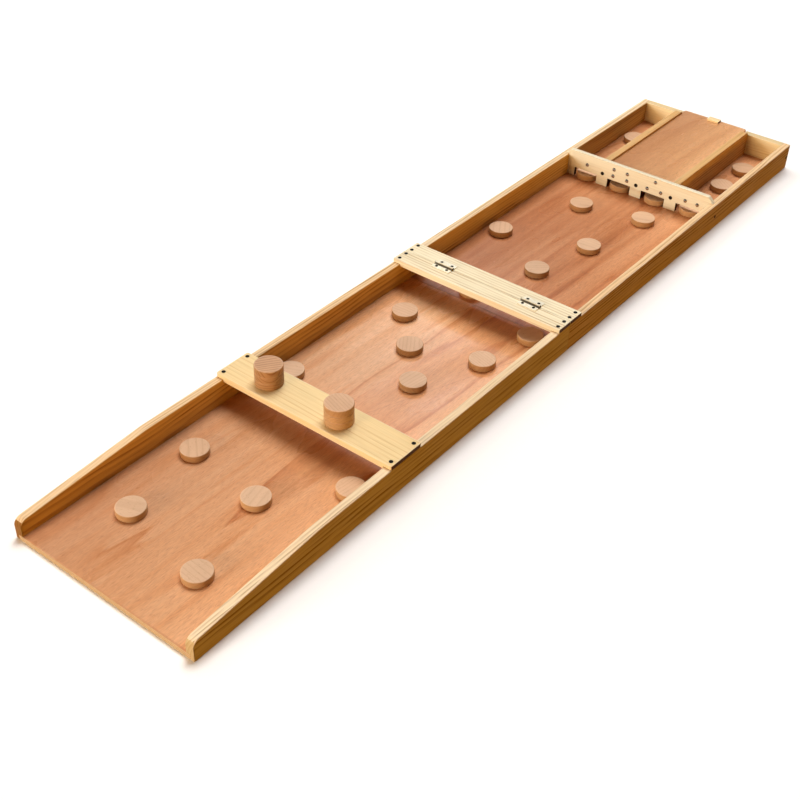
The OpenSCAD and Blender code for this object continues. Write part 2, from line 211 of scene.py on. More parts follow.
def eased(corners: Array, radii: Array, steps: int, support: float) -> Array:
    """Rounds the corners of closed outlines.

    Each corner becomes an arc, c + (a sin((1 - k) t) + b sin(k t)) / sin t for k from 0 to 1, where c is the
    arc's middle, a and b lead from it to the tangent points and t is the angle between them. A point on
    each side, support further along the edge, keeps the flats flat.

    Args:
        corners: corners of each level's outline, (levels, corners, 2).
        radii: radius of each corner, (levels, corners).
        steps: number of straight pieces in each arc.
        support: distance of the side points from the tangent points.
    Returns:
        The rounded outlines, (levels, corners * (steps + 3), 2).
    """
    back = np.roll(corners, 1, axis=1) - corners
    ahead = np.roll(corners, -1, axis=1) - corners
    back = back / np.linalg.norm(back, axis=2, keepdims=True)
    ahead = ahead / np.linalg.norm(ahead, axis=2, keepdims=True)
    half = np.arccos(np.clip((back * ahead).sum(axis=2), -1, 1))[..., None] / 2
    radius = radii[..., None]
    reach = radius / np.tan(half)
    bisector = back + ahead
    bisector = bisector / np.linalg.norm(bisector, axis=2, keepdims=True)
    middle = corners + bisector * radius / np.sin(half)
    first = corners + back * reach - middle
    last = corners + ahead * reach - middle
    turn = (math.pi - 2 * half)[:, :, None]
    k = np.linspace(0, 1, steps + 1)[None, None, :, None]
    arc = (first[:, :, None] * np.sin((1 - k) * turn) + last[:, :, None] * np.sin(k * turn)) / np.sin(turn)
    arc = arc + middle[:, :, None]
    lead = (corners + back * (reach + support))[:, :, None]
    tail = (corners + ahead * (reach + support))[:, :, None]
    return np.concatenate([lead, arc, tail], axis=2).reshape(len(corners), -1, 2)


def loft(rings: Array, marks: Array) -> Shell:
    """Joins rings of points into a closed surface: S(u, v) is point v of ring u, closed by the two end rings.

    Args:
        rings: places of the points, (rings, points of a ring, 3).
        marks: how much each point lies on an arris, (rings, points of a ring).
    Returns:
        The shell, its faces pointing outwards.
    """
    count, around = rings.shape[:2]
    number = np.arange(count * around).reshape(count, around)
    beside = np.roll(number, -1, axis=1)
    quads = np.stack([number[:-1], beside[:-1], beside[1:], number[1:]], axis=-1).reshape(-1, 4)
    caps = np.stack([number[0, ::-1], number[-1]])
    shell = Shell(rings.reshape(-1, 3), quads, caps, marks.reshape(-1))
    if shell.volume() < 0:
        shell.quads, shell.caps = shell.quads[:, ::-1], shell.caps[:, ::-1]
    return shell


@dataclass(frozen=True)
class Levels:
    """The levels of a board's section from one end to the other, with both ends eased.

    A quarter turn t eases each end: the level is e (1 - cos t) from the end and the section is drawn in by
    e (1 - sin t), where e is the width of the easing.

    Args:
        start: the first level.
        end: the last level.
        ease: width of the easing.
        stops: levels between the ends where the section changes.
        support: distance from the easing to the level that keeps the flats flat.
    """

    start: float
    end: float
    ease: float = 0.5
    stops: tuple[float, ...] = ()
    support: float = 1.0

    def rows(self) -> tuple[Array, Array, Array]:
        """Works out the levels.

        Returns:
            The levels, how far each is drawn in and how much each is marked as an arris, each (levels,).
        """
        t = np.linspace(0, math.pi / 2, EASING_STEPS + 1)
        near = np.concatenate([[0.0], self.ease * (1 - np.cos(t)), [self.ease + self.support]])
        depth = np.concatenate([[self.ease + self.support], self.ease * (1 - np.sin(t)), [0.0]])
        mark = np.concatenate([[0.0], np.ones(len(t)), [0.0]])
        sign = 1 if self.end > self.start else -1
        stops = np.array(self.stops, float)
        level = np.concatenate([self.start + sign * near, stops, (self.end - sign * near)[::-1]])
        flat = np.zeros(len(stops))
        return level, np.concatenate([depth, flat, depth[::-1]]), np.concatenate([mark, flat, mark[::-1]])


def board(corners: Array, levels: Levels, plane: Plane, radii: Array, steps: int = EASING_STEPS) -> Shell:
    """A board with eased arrises: its rounded section at each level, placed in space.

    Args:
        corners: the section's counter-clockwise corners, (corners, 2), or each level's, (levels, corners, 2).
        levels: where the section runs from and to.
        plane: the plane of the section.
        radii: radius of each corner, (corners,).
        steps: number of straight pieces in each corner.
    Returns:
        The closed board.
    """
    level, depth, mark = levels.rows()
    corners = np.asarray(corners, float)
    if corners.ndim == 2:
        corners = np.broadcast_to(corners, (len(level), *corners.shape))
    shrunk = np.maximum(np.asarray(radii, float)[None] - depth[:, None], LEAST_RADIUS)
    outline = eased(drawn_in(corners, depth), shrunk, steps, levels.support)
    rings = np.empty((*outline.shape[:2], 3))
    first, second, third = plane.value
    rings[..., first] = outline[..., 0]
    rings[..., second] = outline[..., 1]
    rings[..., third] = level[:, None]
    around = np.tile(np.concatenate([[0.0], np.ones(steps + 1), [0.0]]), corners.shape[1])
    return loft(rings, np.maximum(around[None], mark[:, None]))


def box_of(node: str) -> tuple[Array, Array]:
    """A node's lowest and highest corners in millimetres."""
    low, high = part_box(node)
    return np.array(low) / MM, np.array(high) / MM


def block(
    node: str,
    plane: Plane,
    ease: float,
    radii: list[float] | None = None,
    steps: int = EASING_STEPS,
    support: float = 1.0,
) -> Shell:
    """A straight board as large as a node's box.

    Args:
        node: the node.
        plane: the plane of its section; its levels run along the plane's third axis.
        ease: width of its eased arrises.
        radii: radius of each corner of its section, counter-clockwise from the lowest; None for the easing's.
        steps: number of straight pieces in each corner.
        support: distance from the easing to the points that keep the flats flat.
    Returns:
        The closed board.
    """
    low, high = box_of(node)
    first, second, third = plane.value
    corners = np.array([
        [low[first], low[second]],
        [high[first], low[second]],
        [high[first], high[second]],
        [low[first], high[second]],
    ])
    levels = Levels(low[third], high[third], ease, support=support)
    return board(corners, levels, plane, np.array(radii or [ease] * 4), steps)


def turned(profile: Array, marks: Array, around: int) -> Shell:
    """A turned shape: the profile (r, z) carried round the upright axis, (r cos a, r sin a, z).

    Args:
        profile: the profile's points, radius and height, (k, 2).
        marks: how much each point of the profile lies on an arris, (k,).
        around: number of points in a ring.
    Returns:
        The closed shape.
    """
    angle = np.linspace(0, 2 * math.pi, around, endpoint=False)
    radius, height = profile[:, :1], profile[:, 1:]
    rings = np.stack([radius * np.cos(angle), radius * np.sin(angle), height + 0 * angle], axis=-1)
    return loft(rings, np.repeat(marks[:, None], around, axis=1))


# Materials

class Graph:
    """A short hand for laying and joining the nodes of one material or world."""

    def __init__(self, owner: bpy.types.Material | bpy.types.World) -> None:
        """Empties the node tree of a material or world.

        Args:
            owner: the material or world.
        """
        self.owner = owner
        owner.use_nodes = True
        self.tree = owner.node_tree
        self.tree.nodes.clear()

    def node(self, kind: str, inputs: dict, **settings) -> bpy.types.Node:
        """Lays one node.

        Args:
            kind: Blender's name of the node's type.
            inputs: a socket to join or a constant to set, for each input's name or number.
            settings: values of the node's own options.
        Returns:
            The node.
        """
        made = self.tree.nodes.new(kind)
        for key, value in settings.items():
            setattr(made, key, value)
        for key, value in inputs.items():
            if isinstance(value, Socket):
                self.tree.links.new(value, made.inputs[key])
            else:
                made.inputs[key].default_value = value
        return made

    def attribute(self, name: str, output: str) -> Socket:
        """A value kept on the piece's points."""
        return self.node("ShaderNodeAttribute", {}, attribute_name=name).outputs[output]

    def place(self, system: str = "Object") -> Socket:
        """The place on the piece, in metres, or in another system of coordinates."""
        return self.node("ShaderNodeTexCoord", {}).outputs[system]

    def axis(self, place: Value, name: str) -> Socket:
        """A place's coordinate on the axis of that name."""
        return self.node("ShaderNodeSeparateXYZ", {"Vector": place}).outputs[name]

    def shown(self) -> Socket:
        """1 for what the eye sees, straight, mirrored or through glass, and 0 for light on other surfaces."""
        path = self.node("ShaderNodeLightPath", {})
        seen = self.math("MAXIMUM", path.outputs["Is Camera Ray"], path.outputs["Is Glossy Ray"])
        return self.math("MAXIMUM", seen, path.outputs["Is Transmission Ray"])

    def math(self, operation: str, first: Value, second: Value = 0.0, clamp: bool = False) -> Socket:
        """One sum of two values, held between 0 and 1 where clamp is true."""
        made = self.node("ShaderNodeMath", {0: first, 1: second}, operation=operation, use_clamp=clamp)
        return made.outputs[0]

    def plus(self, first: Value, second: Value, clamp: bool = False) -> Socket:
        """The first value and the second."""
        return self.math("ADD", first, second, clamp)

    def times(self, first: Value, second: Value, clamp: bool = False) -> Socket:
        """The first value times the second."""
        return self.math("MULTIPLY", first, second, clamp)

    def vector(self, operation: str, first: Value, second: Value) -> Socket:
        """One sum of two vectors."""
        return self.node("ShaderNodeVectorMath", {0: first, 1: second}, operation=operation).outputs[0]

    def noise(
        self, place: Socket, scale: Colour, detail: float = 2.0, output: str = "Fac", rough: float = 0.5
    ) -> Socket:
        """Noise with its own scale along each axis.

        Args:
            place: where it is read.
            scale: waves for each metre along each axis.
            detail: how many finer layers lie on it.
            output: Fac for one value, Color for three.
            rough: how strong the finer layers are.
        Returns:
            The noise, about 0.5 on the whole.
        """
        stretched = self.vector("MULTIPLY", place, scale)
        inputs = {"Vector": stretched, "Scale": 1.0, "Detail": detail, "Roughness": rough}
        return self.node("ShaderNodeTexNoise", inputs).outputs[output]

    def swayed(self, place: Socket, scale: Colour, detail: float, reach: float) -> Socket:
        """Places moved beside the fibres by noise.

        Args:
            place: the places, their first axis along the fibres.
            scale: waves for each metre along each axis.
            detail: how many finer layers the noise has.
            reach: metres that the noise's whole range stands for.
        Returns:
            The moved places.
        """
        sway = self.vector("SUBTRACT", self.noise(place, scale, detail, "Color"), (0.5, 0.5, 0.5))
        return self.vector("ADD", place, self.vector("MULTIPLY", sway, (0.0, reach, reach)))

    def rings(self, place: Socket, pitch: float, waver: float = 0.0) -> Socket:
        """Growth rings round the first axis, rising from 0 to 1 through each ring.

        At a scale of 1 the wave has a ring every pi / 10 metres.

        Args:
            place: the place in the log.
            pitch: distance between rings in metres.
            waver: how far the rings waver, in radians.
        Returns:
            How far through its ring the place is.
        """
        inputs = {"Vector": place, "Scale": math.pi / 10 / pitch, "Distortion": waver, "Detail Scale": 0.6}
        options = {"wave_type": "RINGS", "rings_direction": "X", "wave_profile": "SAW"}
        return self.node("ShaderNodeTexWave", inputs, **options).outputs["Fac"]

    def ramp(self, factor: Value, stops: list[tuple[float, Colour]]) -> Socket:
        """Colours along a factor.

        Args:
            factor: a value from 0 to 1.
            stops: places on the factor and their linear colours.
        Returns:
            The colour.
        """
        made = self.node("ShaderNodeValToRGB", {"Fac": factor})
        band = made.color_ramp
        while len(band.elements) < len(stops):
            band.elements.new(0.5)
        for element, (at, colour) in zip(band.elements, stops):
            element.position = at
            element.color = (*colour, 1.0)
        return made.outputs["Color"]

    def curve(self, factor: Value, stops: Stops) -> Socket:
        """Grey values along a factor."""
        return self.ramp(factor, [(at, (value, value, value)) for at, value in stops])

    def blend(self, factor: Value, first: Value, second: Value, mode: str = "MIX") -> Socket:
        """Mixes or combines two colours.

        Args:
            factor: how much the second counts, 0 to 1.
            first: the first colour.
            second: the second colour.
            mode: Blender's name of the way they are combined.
        Returns:
            The colour.
        """
        inputs = {0: factor}
        for key, value in ((6, first), (7, second)):
            inputs[key] = (*value, 1.0) if isinstance(value, tuple) else value
        made = self.node("ShaderNodeMix", inputs, data_type="RGBA", blend_type=mode)
        return made.outputs[2]

    def shaded(self, factor: float, colour: Socket, value: Socket, stops: Stops) -> Socket:
        """A colour times grey values along a value, as strongly as the factor says."""
        return self.blend(factor, colour, self.curve(value, stops), "MULTIPLY")

    def bump(self, height: Socket, distance: float, strength: float) -> Socket:
        """The surface's normal with a height laid on it."""
        inputs = {"Height": height, "Distance": distance, "Strength": strength}
        return self.node("ShaderNodeBump", inputs).outputs["Normal"]

    def surface(self, inputs: dict) -> bpy.types.Material:
        """Ends the graph of a material with a principled surface.

        Args:
            inputs: sockets or constants of the surface by name.
        Returns:
            The material.
        """
        shader = self.node("ShaderNodeBsdfPrincipled", inputs)
        self.node("ShaderNodeOutputMaterial", {"Surface": shader.outputs[0]})
        return self.owner


@dataclass(frozen=True)
class SawnPine:
    """Planed softwood: growth rings round a far pith, fine fibres, pale worn arrises and a thin clear coat.

    Args:
        name: the material's name.
        early: colour of the wide spring growth.
        late: colour of the thin summer growth.
        worn: colour the arrises are rubbed to.
        pitch: distance between rings in metres.
        contrast: strength of the ring lines, 0 to 1.
        summer: share of a ring that is summer growth.
        specular: level of the surface's mirror reflection.
        paler: tint of a board from nearer the bark, by the piece's tone.
        inside: painted shade, a darker and more saturated tint on the faces that look to the board's middle.
        face: distance of those faces from the middle in metres, 0 for a board that has none.
        lap: how far that painted shade laps round the arris, in metres.
    """

    name: str
    early: Colour
    late: Colour
    worn: Colour
    pitch: float = 0.0034
    contrast: float = 0.75
    summer: float = 0.16
    specular: float = 0.18
    paler: Colour = (1.07, 1.2, 1.38)
    inside: Colour = (0.84, 0.72, 0.42)
    face: float = 0.0
    lap: float = 0.0008

    def material(self) -> bpy.types.Material:
        """The finish as nodes; the painted shade on the inner faces fades out over 1 / 1600 metres."""
        g = Graph(bpy.data.materials.new(self.name))
        wood = g.attribute("wood", "Vector")
        rings = g.rings(g.swayed(wood, (4.0, 14.0, 14.0), 3.0, 0.008), self.pitch)
        line = g.curve(rings, [(0.0, 0.1), (0.06, 0.0), (0.92 - 2 * self.summer, 0.08),
                               (0.95 - self.summer, 0.8), (0.96, 1.0), (1.0, 0.2)])
        season = g.noise(wood, (0.8, 70.0, 70.0), 1.0)
        line = g.times(line, g.curve(season, [(0.36, 0.2 * self.contrast), (0.62, self.contrast)]))
        fade = g.noise(wood, (13.0, 260.0, 260.0))
        line = g.times(line, g.curve(fade, [(0.38, 0.2), (0.58, 1.0)]))
        colour = g.blend(line, self.early, self.late)
        cloud = g.noise(wood, (3.0, 34.0, 34.0), 3.0)
        tints = [(0.25, (0.80, 0.74, 0.66)), (0.5, (1.0, 1.0, 1.0)), (0.75, (1.08, 1.10, 1.12))]
        colour = g.blend(0.55, colour, g.ramp(cloud, tints), "MULTIPLY")
        fibre = g.noise(wood, (26.0, 900.0, 900.0), 3.0)
        colour = g.shaded(0.5, colour, fibre, [(0.3, 0.82), (0.6, 1.06)])
        colour = g.blend(g.attribute("tone", "Fac"), colour, self.paler, "MULTIPLY")
        patches = g.curve(g.noise(wood, (14.0, 90.0, 90.0)), [(0.3, 0.25), (0.7, 0.85)])
        colour = g.blend(g.times(g.attribute("worn", "Fac"), patches), colour, self.worn)
        # painted shade: the faces that look to the board's middle are tinted darker and more saturated
        if self.face:
            off = g.math("ABSOLUTE", g.axis(g.place(), "X"))
            near = g.times(g.math("SUBTRACT", self.face + self.lap, off), 1600.0, clamp=True)
            colour = g.blend(near, colour, self.inside, "MULTIPLY")
        return g.surface({
            "Base Color": colour,
            "Roughness": g.curve(fibre, [(0.3, 0.6), (0.7, 0.44)]),
            "Normal": g.bump(g.plus(g.times(fibre, 0.6), g.times(line, 0.5)), 0.00025, 0.35),
            "Specular IOR Level": self.specular,
        })


@dataclass(frozen=True)
class EndGrain:
    """Sawn ends of softwood, darker where the cut pores have drunk the finish.

    Args:
        name: the material's name.
        early: colour of the spring growth.
        late: colour of the summer growth and of the pores.
        pitch: distance between rings in metres.
    """

    name: str
    early: Colour
    late: Colour
    pitch: float = 0.0034

    def material(self) -> bpy.types.Material:
        """The finish as nodes."""
        g = Graph(bpy.data.materials.new(self.name))
        wood = g.attribute("wood", "Vector")
        speckle = g.noise(wood, (300.0, 1400.0, 1400.0), 3.0)
        factor = g.plus(g.times(g.rings(wood, self.pitch, 1.2), 0.6), g.times(speckle, 0.5), clamp=True)
        return g.surface({
            "Base Color": g.blend(factor, self.early, self.late),
            "Roughness": g.curve(speckle, [(0.3, 0.75), (0.7, 0.6)]),
            "Normal": g.bump(factor, 0.0003, 0.5),
            "Specular IOR Level": 0.12,
        })


@dataclass(frozen=True)
class Veneer:
    """Rotary-cut reddish veneer under satin varnish: long flames, soft streaks, short pores.

    Args:
        name: the material's name.
        pale: colour of the palest flames.
        middle: the veneer's main colour.
        dark: colour of the darkest streaks.
        pore: colour of the pores.
        streaks: strength of the soft streaks.
        lines: strength of the thin dark lines between the flames.
    """

    name: str
    pale: Colour
    middle: Colour
    dark: Colour
    pore: Colour
    streaks: float
    lines: float

    def material(self) -> bpy.types.Material:
        """The finish as nodes."""
        g = Graph(bpy.data.materials.new(self.name))
        wood = g.attribute("wood", "Vector")
        bent = g.swayed(wood, (1.6, 9.0, 9.0), 2.0, 0.03)
        flames = g.noise(bent, (1.5, 13.0, 13.0), 3.0, rough=0.55)
        bands = g.math("FRACT", g.times(flames, 9.0))
        bands = g.curve(bands, [(0.0, 0.1), (0.55, 0.15), (0.86, 1.0), (1.0, 0.0)])
        broken = g.curve(g.noise(bent, (3.0, 40.0, 40.0), 1.0), [(0.40, 0.2), (0.62, 1.0)])
        streak = g.math("SUBTRACT", g.noise(bent, (2.4, 95.0, 95.0), 4.0, rough=0.6), 0.5)
        mixed = g.plus(g.plus(g.times(flames, 0.75), g.times(streak, self.streaks)), 0.225)
        mixed = g.math("SUBTRACT", mixed, g.times(g.times(bands, broken), self.lines))
        colour = g.ramp(mixed, [(0.36, self.dark), (0.52, self.middle), (0.72, self.pale)])
        dots = g.curve(g.noise(wood, (150.0, 2600.0, 2600.0)), [(0.28, 1.0), (0.40, 0.0)])
        colour = g.blend(g.times(dots, 0.75), colour, self.pore)
        fleck = g.noise(wood, (110.0, 700.0, 700.0), 3.0)
        colour = g.shaded(0.7, colour, fleck, [(0.3, 0.79), (0.65, 1.09)])
        colour = g.blend(g.times(g.attribute("worn", "Fac"), 0.55), colour, self.pore)
        height = g.math("SUBTRACT", g.times(fleck, 0.5), g.times(dots, 0.5))
        return g.surface({
            "Base Color": colour,
            "Roughness": g.curve(g.noise(wood, (9.0, 22.0, 22.0)), [(0.3, 0.23), (0.7, 0.35)]),
            "Normal": g.bump(height, 0.0002, 0.3),
            "Specular IOR Level": 0.5,
        })


@dataclass(frozen=True)
class PlyEdge:
    """The sawn edge of plywood: plies across and along the cut in turn, with thin dark glue lines.

    Args:
        name: the material's name.
        along: colour of the plies that run along the cut.
        across: colour of the plies that run across it.
        glue: colour of the glue lines.
        base: height of the sheet's underside in metres.
        thickness: the sheet's thickness in metres.
        plies: number of plies.
    """

    name: str
    along: Colour
    across: Colour
    glue: Colour
    base: float
    thickness: float
    plies: int

    def material(self) -> bpy.types.Material:
        """The finish as nodes; a ply's number is plies (z - base) / thickness."""
        g = Graph(bpy.data.materials.new(self.name))
        place = g.place()
        waver = g.times(g.noise(place, (40.0, 40.0, 200.0)), 0.00025)
        level = g.plus(g.math("SUBTRACT", g.axis(place, "Z"), self.base), waver)
        number = g.times(level, self.plies / self.thickness)
        odd = g.math("GREATER_THAN", g.math("FRACT", g.times(number, 0.5)), 0.5)
        colour = g.blend(odd, self.along, self.across)
        fibre = g.noise(place, (260.0, 260.0, 2600.0), 3.0)
        colour = g.shaded(0.7, colour, fibre, [(0.3, 0.75), (0.65, 1.08)])
        line = g.curve(g.math("FRACT", number), [(0.0, 1.0), (0.07, 0.0), (0.94, 0.0), (1.0, 1.0)])
        return g.surface({
            "Base Color": g.blend(g.times(line, 0.6), colour, self.glue),
            "Roughness": g.curve(fibre, [(0.3, 0.7), (0.7, 0.5)]),
            "Normal": g.bump(fibre, 0.0003, 0.5),
            "Specular IOR Level": 0.15,
        })


@dataclass(frozen=True)
class TurnedBeech:
    """Turned beech, sanded and bare: faint rings, short ray flecks and its own tone for each puck.

    Args:
        name: the material's name.
        pale: colour of the palest puck.
        dark: colour of the darkest puck.
        ring: colour of the ring lines and ray flecks.
        specular: level of the surface's mirror reflection.
        pitch: distance between rings in metres.
    """

    name: str
    pale: Colour
    dark: Colour
    ring: Colour
    specular: float
    pitch: float = 0.0031

    def material(self) -> bpy.types.Material:
        """The finish as nodes."""
        g = Graph(bpy.data.materials.new(self.name))
        wood = g.attribute("wood", "Vector")
        tone = g.attribute("tone", "Fac")
        rings = g.rings(g.swayed(wood, (14.0, 50.0, 50.0), 2.0, 0.0032), self.pitch)
        line = g.curve(rings, [(0.0, 0.05), (0.6, 0.1), (0.9, 1.0), (1.0, 0.1)])
        strength = g.times(line, g.curve(tone, [(0.0, 0.14), (0.35, 0.3), (0.5, 0.85)]))
        colour = g.blend(strength, g.blend(tone, self.pale, self.dark), self.ring)
        cloud = g.noise(wood, (22.0, 90.0, 90.0), 3.0)
        colour = g.shaded(0.6, colour, cloud, [(0.3, 0.90), (0.68, 1.07)])
        fleck = g.noise(wood, (240.0, 1500.0, 1500.0))
        dash = g.curve(fleck, [(0.27, 1.0), (0.38, 0.0)])
        colour = g.blend(g.times(dash, 0.5), colour, self.ring)
        return g.surface({
            "Base Color": g.blend(g.times(g.attribute("worn", "Fac"), 0.35), colour, self.pale),
            "Roughness": g.curve(cloud, [(0.3, 0.46), (0.7, 0.36)]),
            "Normal": g.bump(g.plus(fleck, line), 0.00012, 0.3),
            "Specular IOR Level": self.specular,
        })


@dataclass(frozen=True)
class Metal:
    """Small metal fittings: a clean colour with duller patches, and fine scratches.

    Args:
        name: the material's name.
        clean: colour of the clean metal.
        dull: colour of the dull patches.
        metallic: share of mirror-like metal.
        smooth: least roughness.
        rough: greatest roughness.
        specular: level of the mirror reflection where it is not metal.
        knuckle_shadow: strength of the painted shadow line in front of a hinge's knuckles.
        knuckle_shadow_colour: colour of that painted shadow line.
    """

    name: str
    clean: Colour
    dull: Colour
    metallic: float
    smooth: float
    rough: float
    specular: float = 0.5
    knuckle_shadow: float = 0.0
    knuckle_shadow_colour: Colour = (0.03, 0.022, 0.012)

    def material(self) -> bpy.types.Material:
        """The finish as nodes; the painted shadow line in front of the knuckles runs from 3.6 to 1.1
        millimetres before the seam.
        """
        g = Graph(bpy.data.materials.new(self.name))
        place = g.place()
        patch = g.noise(place, (420.0, 420.0, 420.0), 3.0)
        scratch = g.noise(place, (180.0, 2600.0, 900.0))
        colour = g.blend(g.curve(patch, [(0.35, 0.0), (0.65, 1.0)]), self.clean, self.dull)
        # painted shadow: a dark line just before a hinge's knuckles, where the barrel shades the front leaf
        through = g.times(g.plus(g.axis(place, "Y"), 0.0036), 400.0, clamp=True)
        line = g.curve(through, [(0.0, 0.0), (0.25, 1.0), (0.8, 1.0), (0.98, 0.0)])
        wear = g.plus(g.times(patch, 0.6), g.times(scratch, 0.4))
        return g.surface({
            "Base Color": g.blend(g.times(line, self.knuckle_shadow), colour, self.knuckle_shadow_colour),
            "Metallic": self.metallic,
            "Roughness": g.curve(wear, [(0.3, self.smooth), (0.7, self.rough)]),
            "Normal": g.bump(scratch, 0.00006, 0.35),
            "Specular IOR Level": self.specular,
        })


@dataclass(frozen=True)
class Finishes:
    """Every finish of the board."""

    # face=0.11 gives the rails' inner faces painted shade
    rail: SawnPine = SawnPine(
        "honey_pine", (0.767, 0.55, 0.323), (0.265, 0.107, 0.021), (0.782, 0.624, 0.439),
        pitch=0.0029, contrast=0.85, summer=0.26, specular=0.01, face=0.11
    )
    rail_end: EndGrain = EndGrain("honey_pine_ends", (0.746, 0.583, 0.328), (0.532, 0.356, 0.156))
    brown_end: EndGrain = EndGrain("brown_pine_ends", (0.40, 0.20, 0.06), (0.24, 0.10, 0.025))
    inner: SawnPine = SawnPine(
        "inner_pine", (0.614, 0.38, 0.163), (0.271, 0.114, 0.021), (0.66, 0.457, 0.247),
        contrast=0.9, summer=0.2, specular=0.02
    )
    wall: SawnPine = SawnPine(
        "wall_pine", (0.675, 0.535, 0.309), (0.419, 0.252, 0.103), (0.729, 0.604, 0.413), specular=0.05
    )
    # painted light: a paler, brighter copy of the wall's pine for the wall's front and back faces
    wall_face: SawnPine = SawnPine(
        "wall_face_pine_painted_light", (0.85, 0.76, 0.5), (0.62, 0.45, 0.215), (0.85, 0.78, 0.55)
    )
    bar: SawnPine = SawnPine(
        "bar_pine", (0.781, 0.601, 0.326), (0.448, 0.221, 0.065), (0.796, 0.669, 0.454),
        pitch=0.0046, contrast=0.36, summer=0.14, specular=0.06
    )
    pale: SawnPine = SawnPine(
        "pale_pine", (0.818, 0.742, 0.538), (0.444, 0.254, 0.1), (0.828, 0.79, 0.622),
        pitch=0.0042, contrast=0.85, summer=0.18, specular=0.06
    )
    # end grain of the pale boards: partly its own darker colour, partly painted shade, far darker than the
    # wood
    pale_end: EndGrain = EndGrain("pale_pine_ends_painted_shade", (0.14, 0.06, 0.02), (0.06, 0.022, 0.007))
    gate: SawnPine = SawnPine(
        "gate_pine", (0.738, 0.7, 0.549), (0.554, 0.414, 0.248), (0.753, 0.758, 0.624),
        pitch=0.0042, contrast=0.8, summer=0.18, specular=0.06
    )
    # painted shade: end grain far darker than the gate's wood, so that the openings' reveals and the ends
    # look shadowed
    gate_end: EndGrain = EndGrain("gate_pine_ends_painted_shade", (0.07, 0.028, 0.01), (0.03, 0.012, 0.004))
    front_panel: Veneer = Veneer(
        "launch_veneer", (0.806, 0.478, 0.27), (0.701, 0.342, 0.156), (0.522, 0.2, 0.076),
        (0.322, 0.106, 0.042), streaks=0.28, lines=0.2
    )
    rear_panel: Veneer = Veneer(
        "target_veneer", (0.7, 0.34, 0.165), (0.572, 0.234, 0.096), (0.42, 0.141, 0.05),
        (0.258, 0.078, 0.035), streaks=0.55, lines=0.12
    )
    lid: Veneer = Veneer(
        "lid_veneer", (0.835, 0.498, 0.259), (0.695, 0.368, 0.168), (0.533, 0.235, 0.098),
        (0.314, 0.123, 0.053), streaks=0.3, lines=0.06
    )
    panel_edge: PlyEdge = PlyEdge(
        "panel_plies", (0.80, 0.60, 0.37), (0.62, 0.40, 0.20), (0.34, 0.19, 0.08),
        base=0.0, thickness=0.006, plies=5
    )
    lid_edge: PlyEdge = PlyEdge(
        "lid_plies", (0.60, 0.32, 0.14), (0.40, 0.17, 0.06), (0.20, 0.08, 0.03),
        base=0.0345, thickness=0.0035, plies=3
    )
    beech: TurnedBeech = TurnedBeech(
        "turned_beech", (0.677, 0.451, 0.292), (0.491, 0.267, 0.138), (0.309, 0.129, 0.053), specular=0.45
    )
    # painted shade: a darker, more saturated copy of the pucks' beech for their sides
    beech_side: TurnedBeech = TurnedBeech(
        "turned_beech_sides_painted_shade", (0.523, 0.323, 0.162), (0.355, 0.18, 0.072), (0.219, 0.081, 0.026), specular=0.2
    )
    black: Metal = Metal(
        "blackened_screws", (0.010, 0.009, 0.009), (0.022, 0.02, 0.018),
        metallic=0.0, smooth=0.5, rough=0.7, specular=0.08
    )
    nail: Metal = Metal(
        "nail_heads", (0.64, 0.61, 0.54), (0.42, 0.38, 0.31), metallic=1.0, smooth=0.2, rough=0.34
    )
    # the plated hinge leaves carry the painted shadow line in front of their knuckles
    plated: Metal = Metal(
        "bright_plating", (0.88, 0.84, 0.70), (0.76, 0.68, 0.48),
        metallic=0.3, smooth=0.24, rough=0.4, knuckle_shadow=0.95
    )
    hinge_screw: Metal = Metal(
        "hinge_screw_heads", (0.035, 0.026, 0.016), (0.018, 0.013, 0.008),
        metallic=0.0, smooth=0.5, rough=0.7, specular=0.08
    )

    def made(self) -> dict[str, bpy.types.Material]:
        """Makes every material, by the name of its field."""
        return {name: getattr(self, name).material() for name in self.__dataclass_fields__}


# Pieces

def in_scene(name: str, data: bpy.types.ID) -> bpy.types.Object:
    """Makes an object of a mesh, a lamp or a camera and puts it in the scene.

    Args:
        name: the object's name.
        data: the mesh, lamp or camera.
    Returns:
        The object.
    """
    made = bpy.data.objects.new(name, data)
    bpy.context.scene.collection.objects.link(made)
    return made


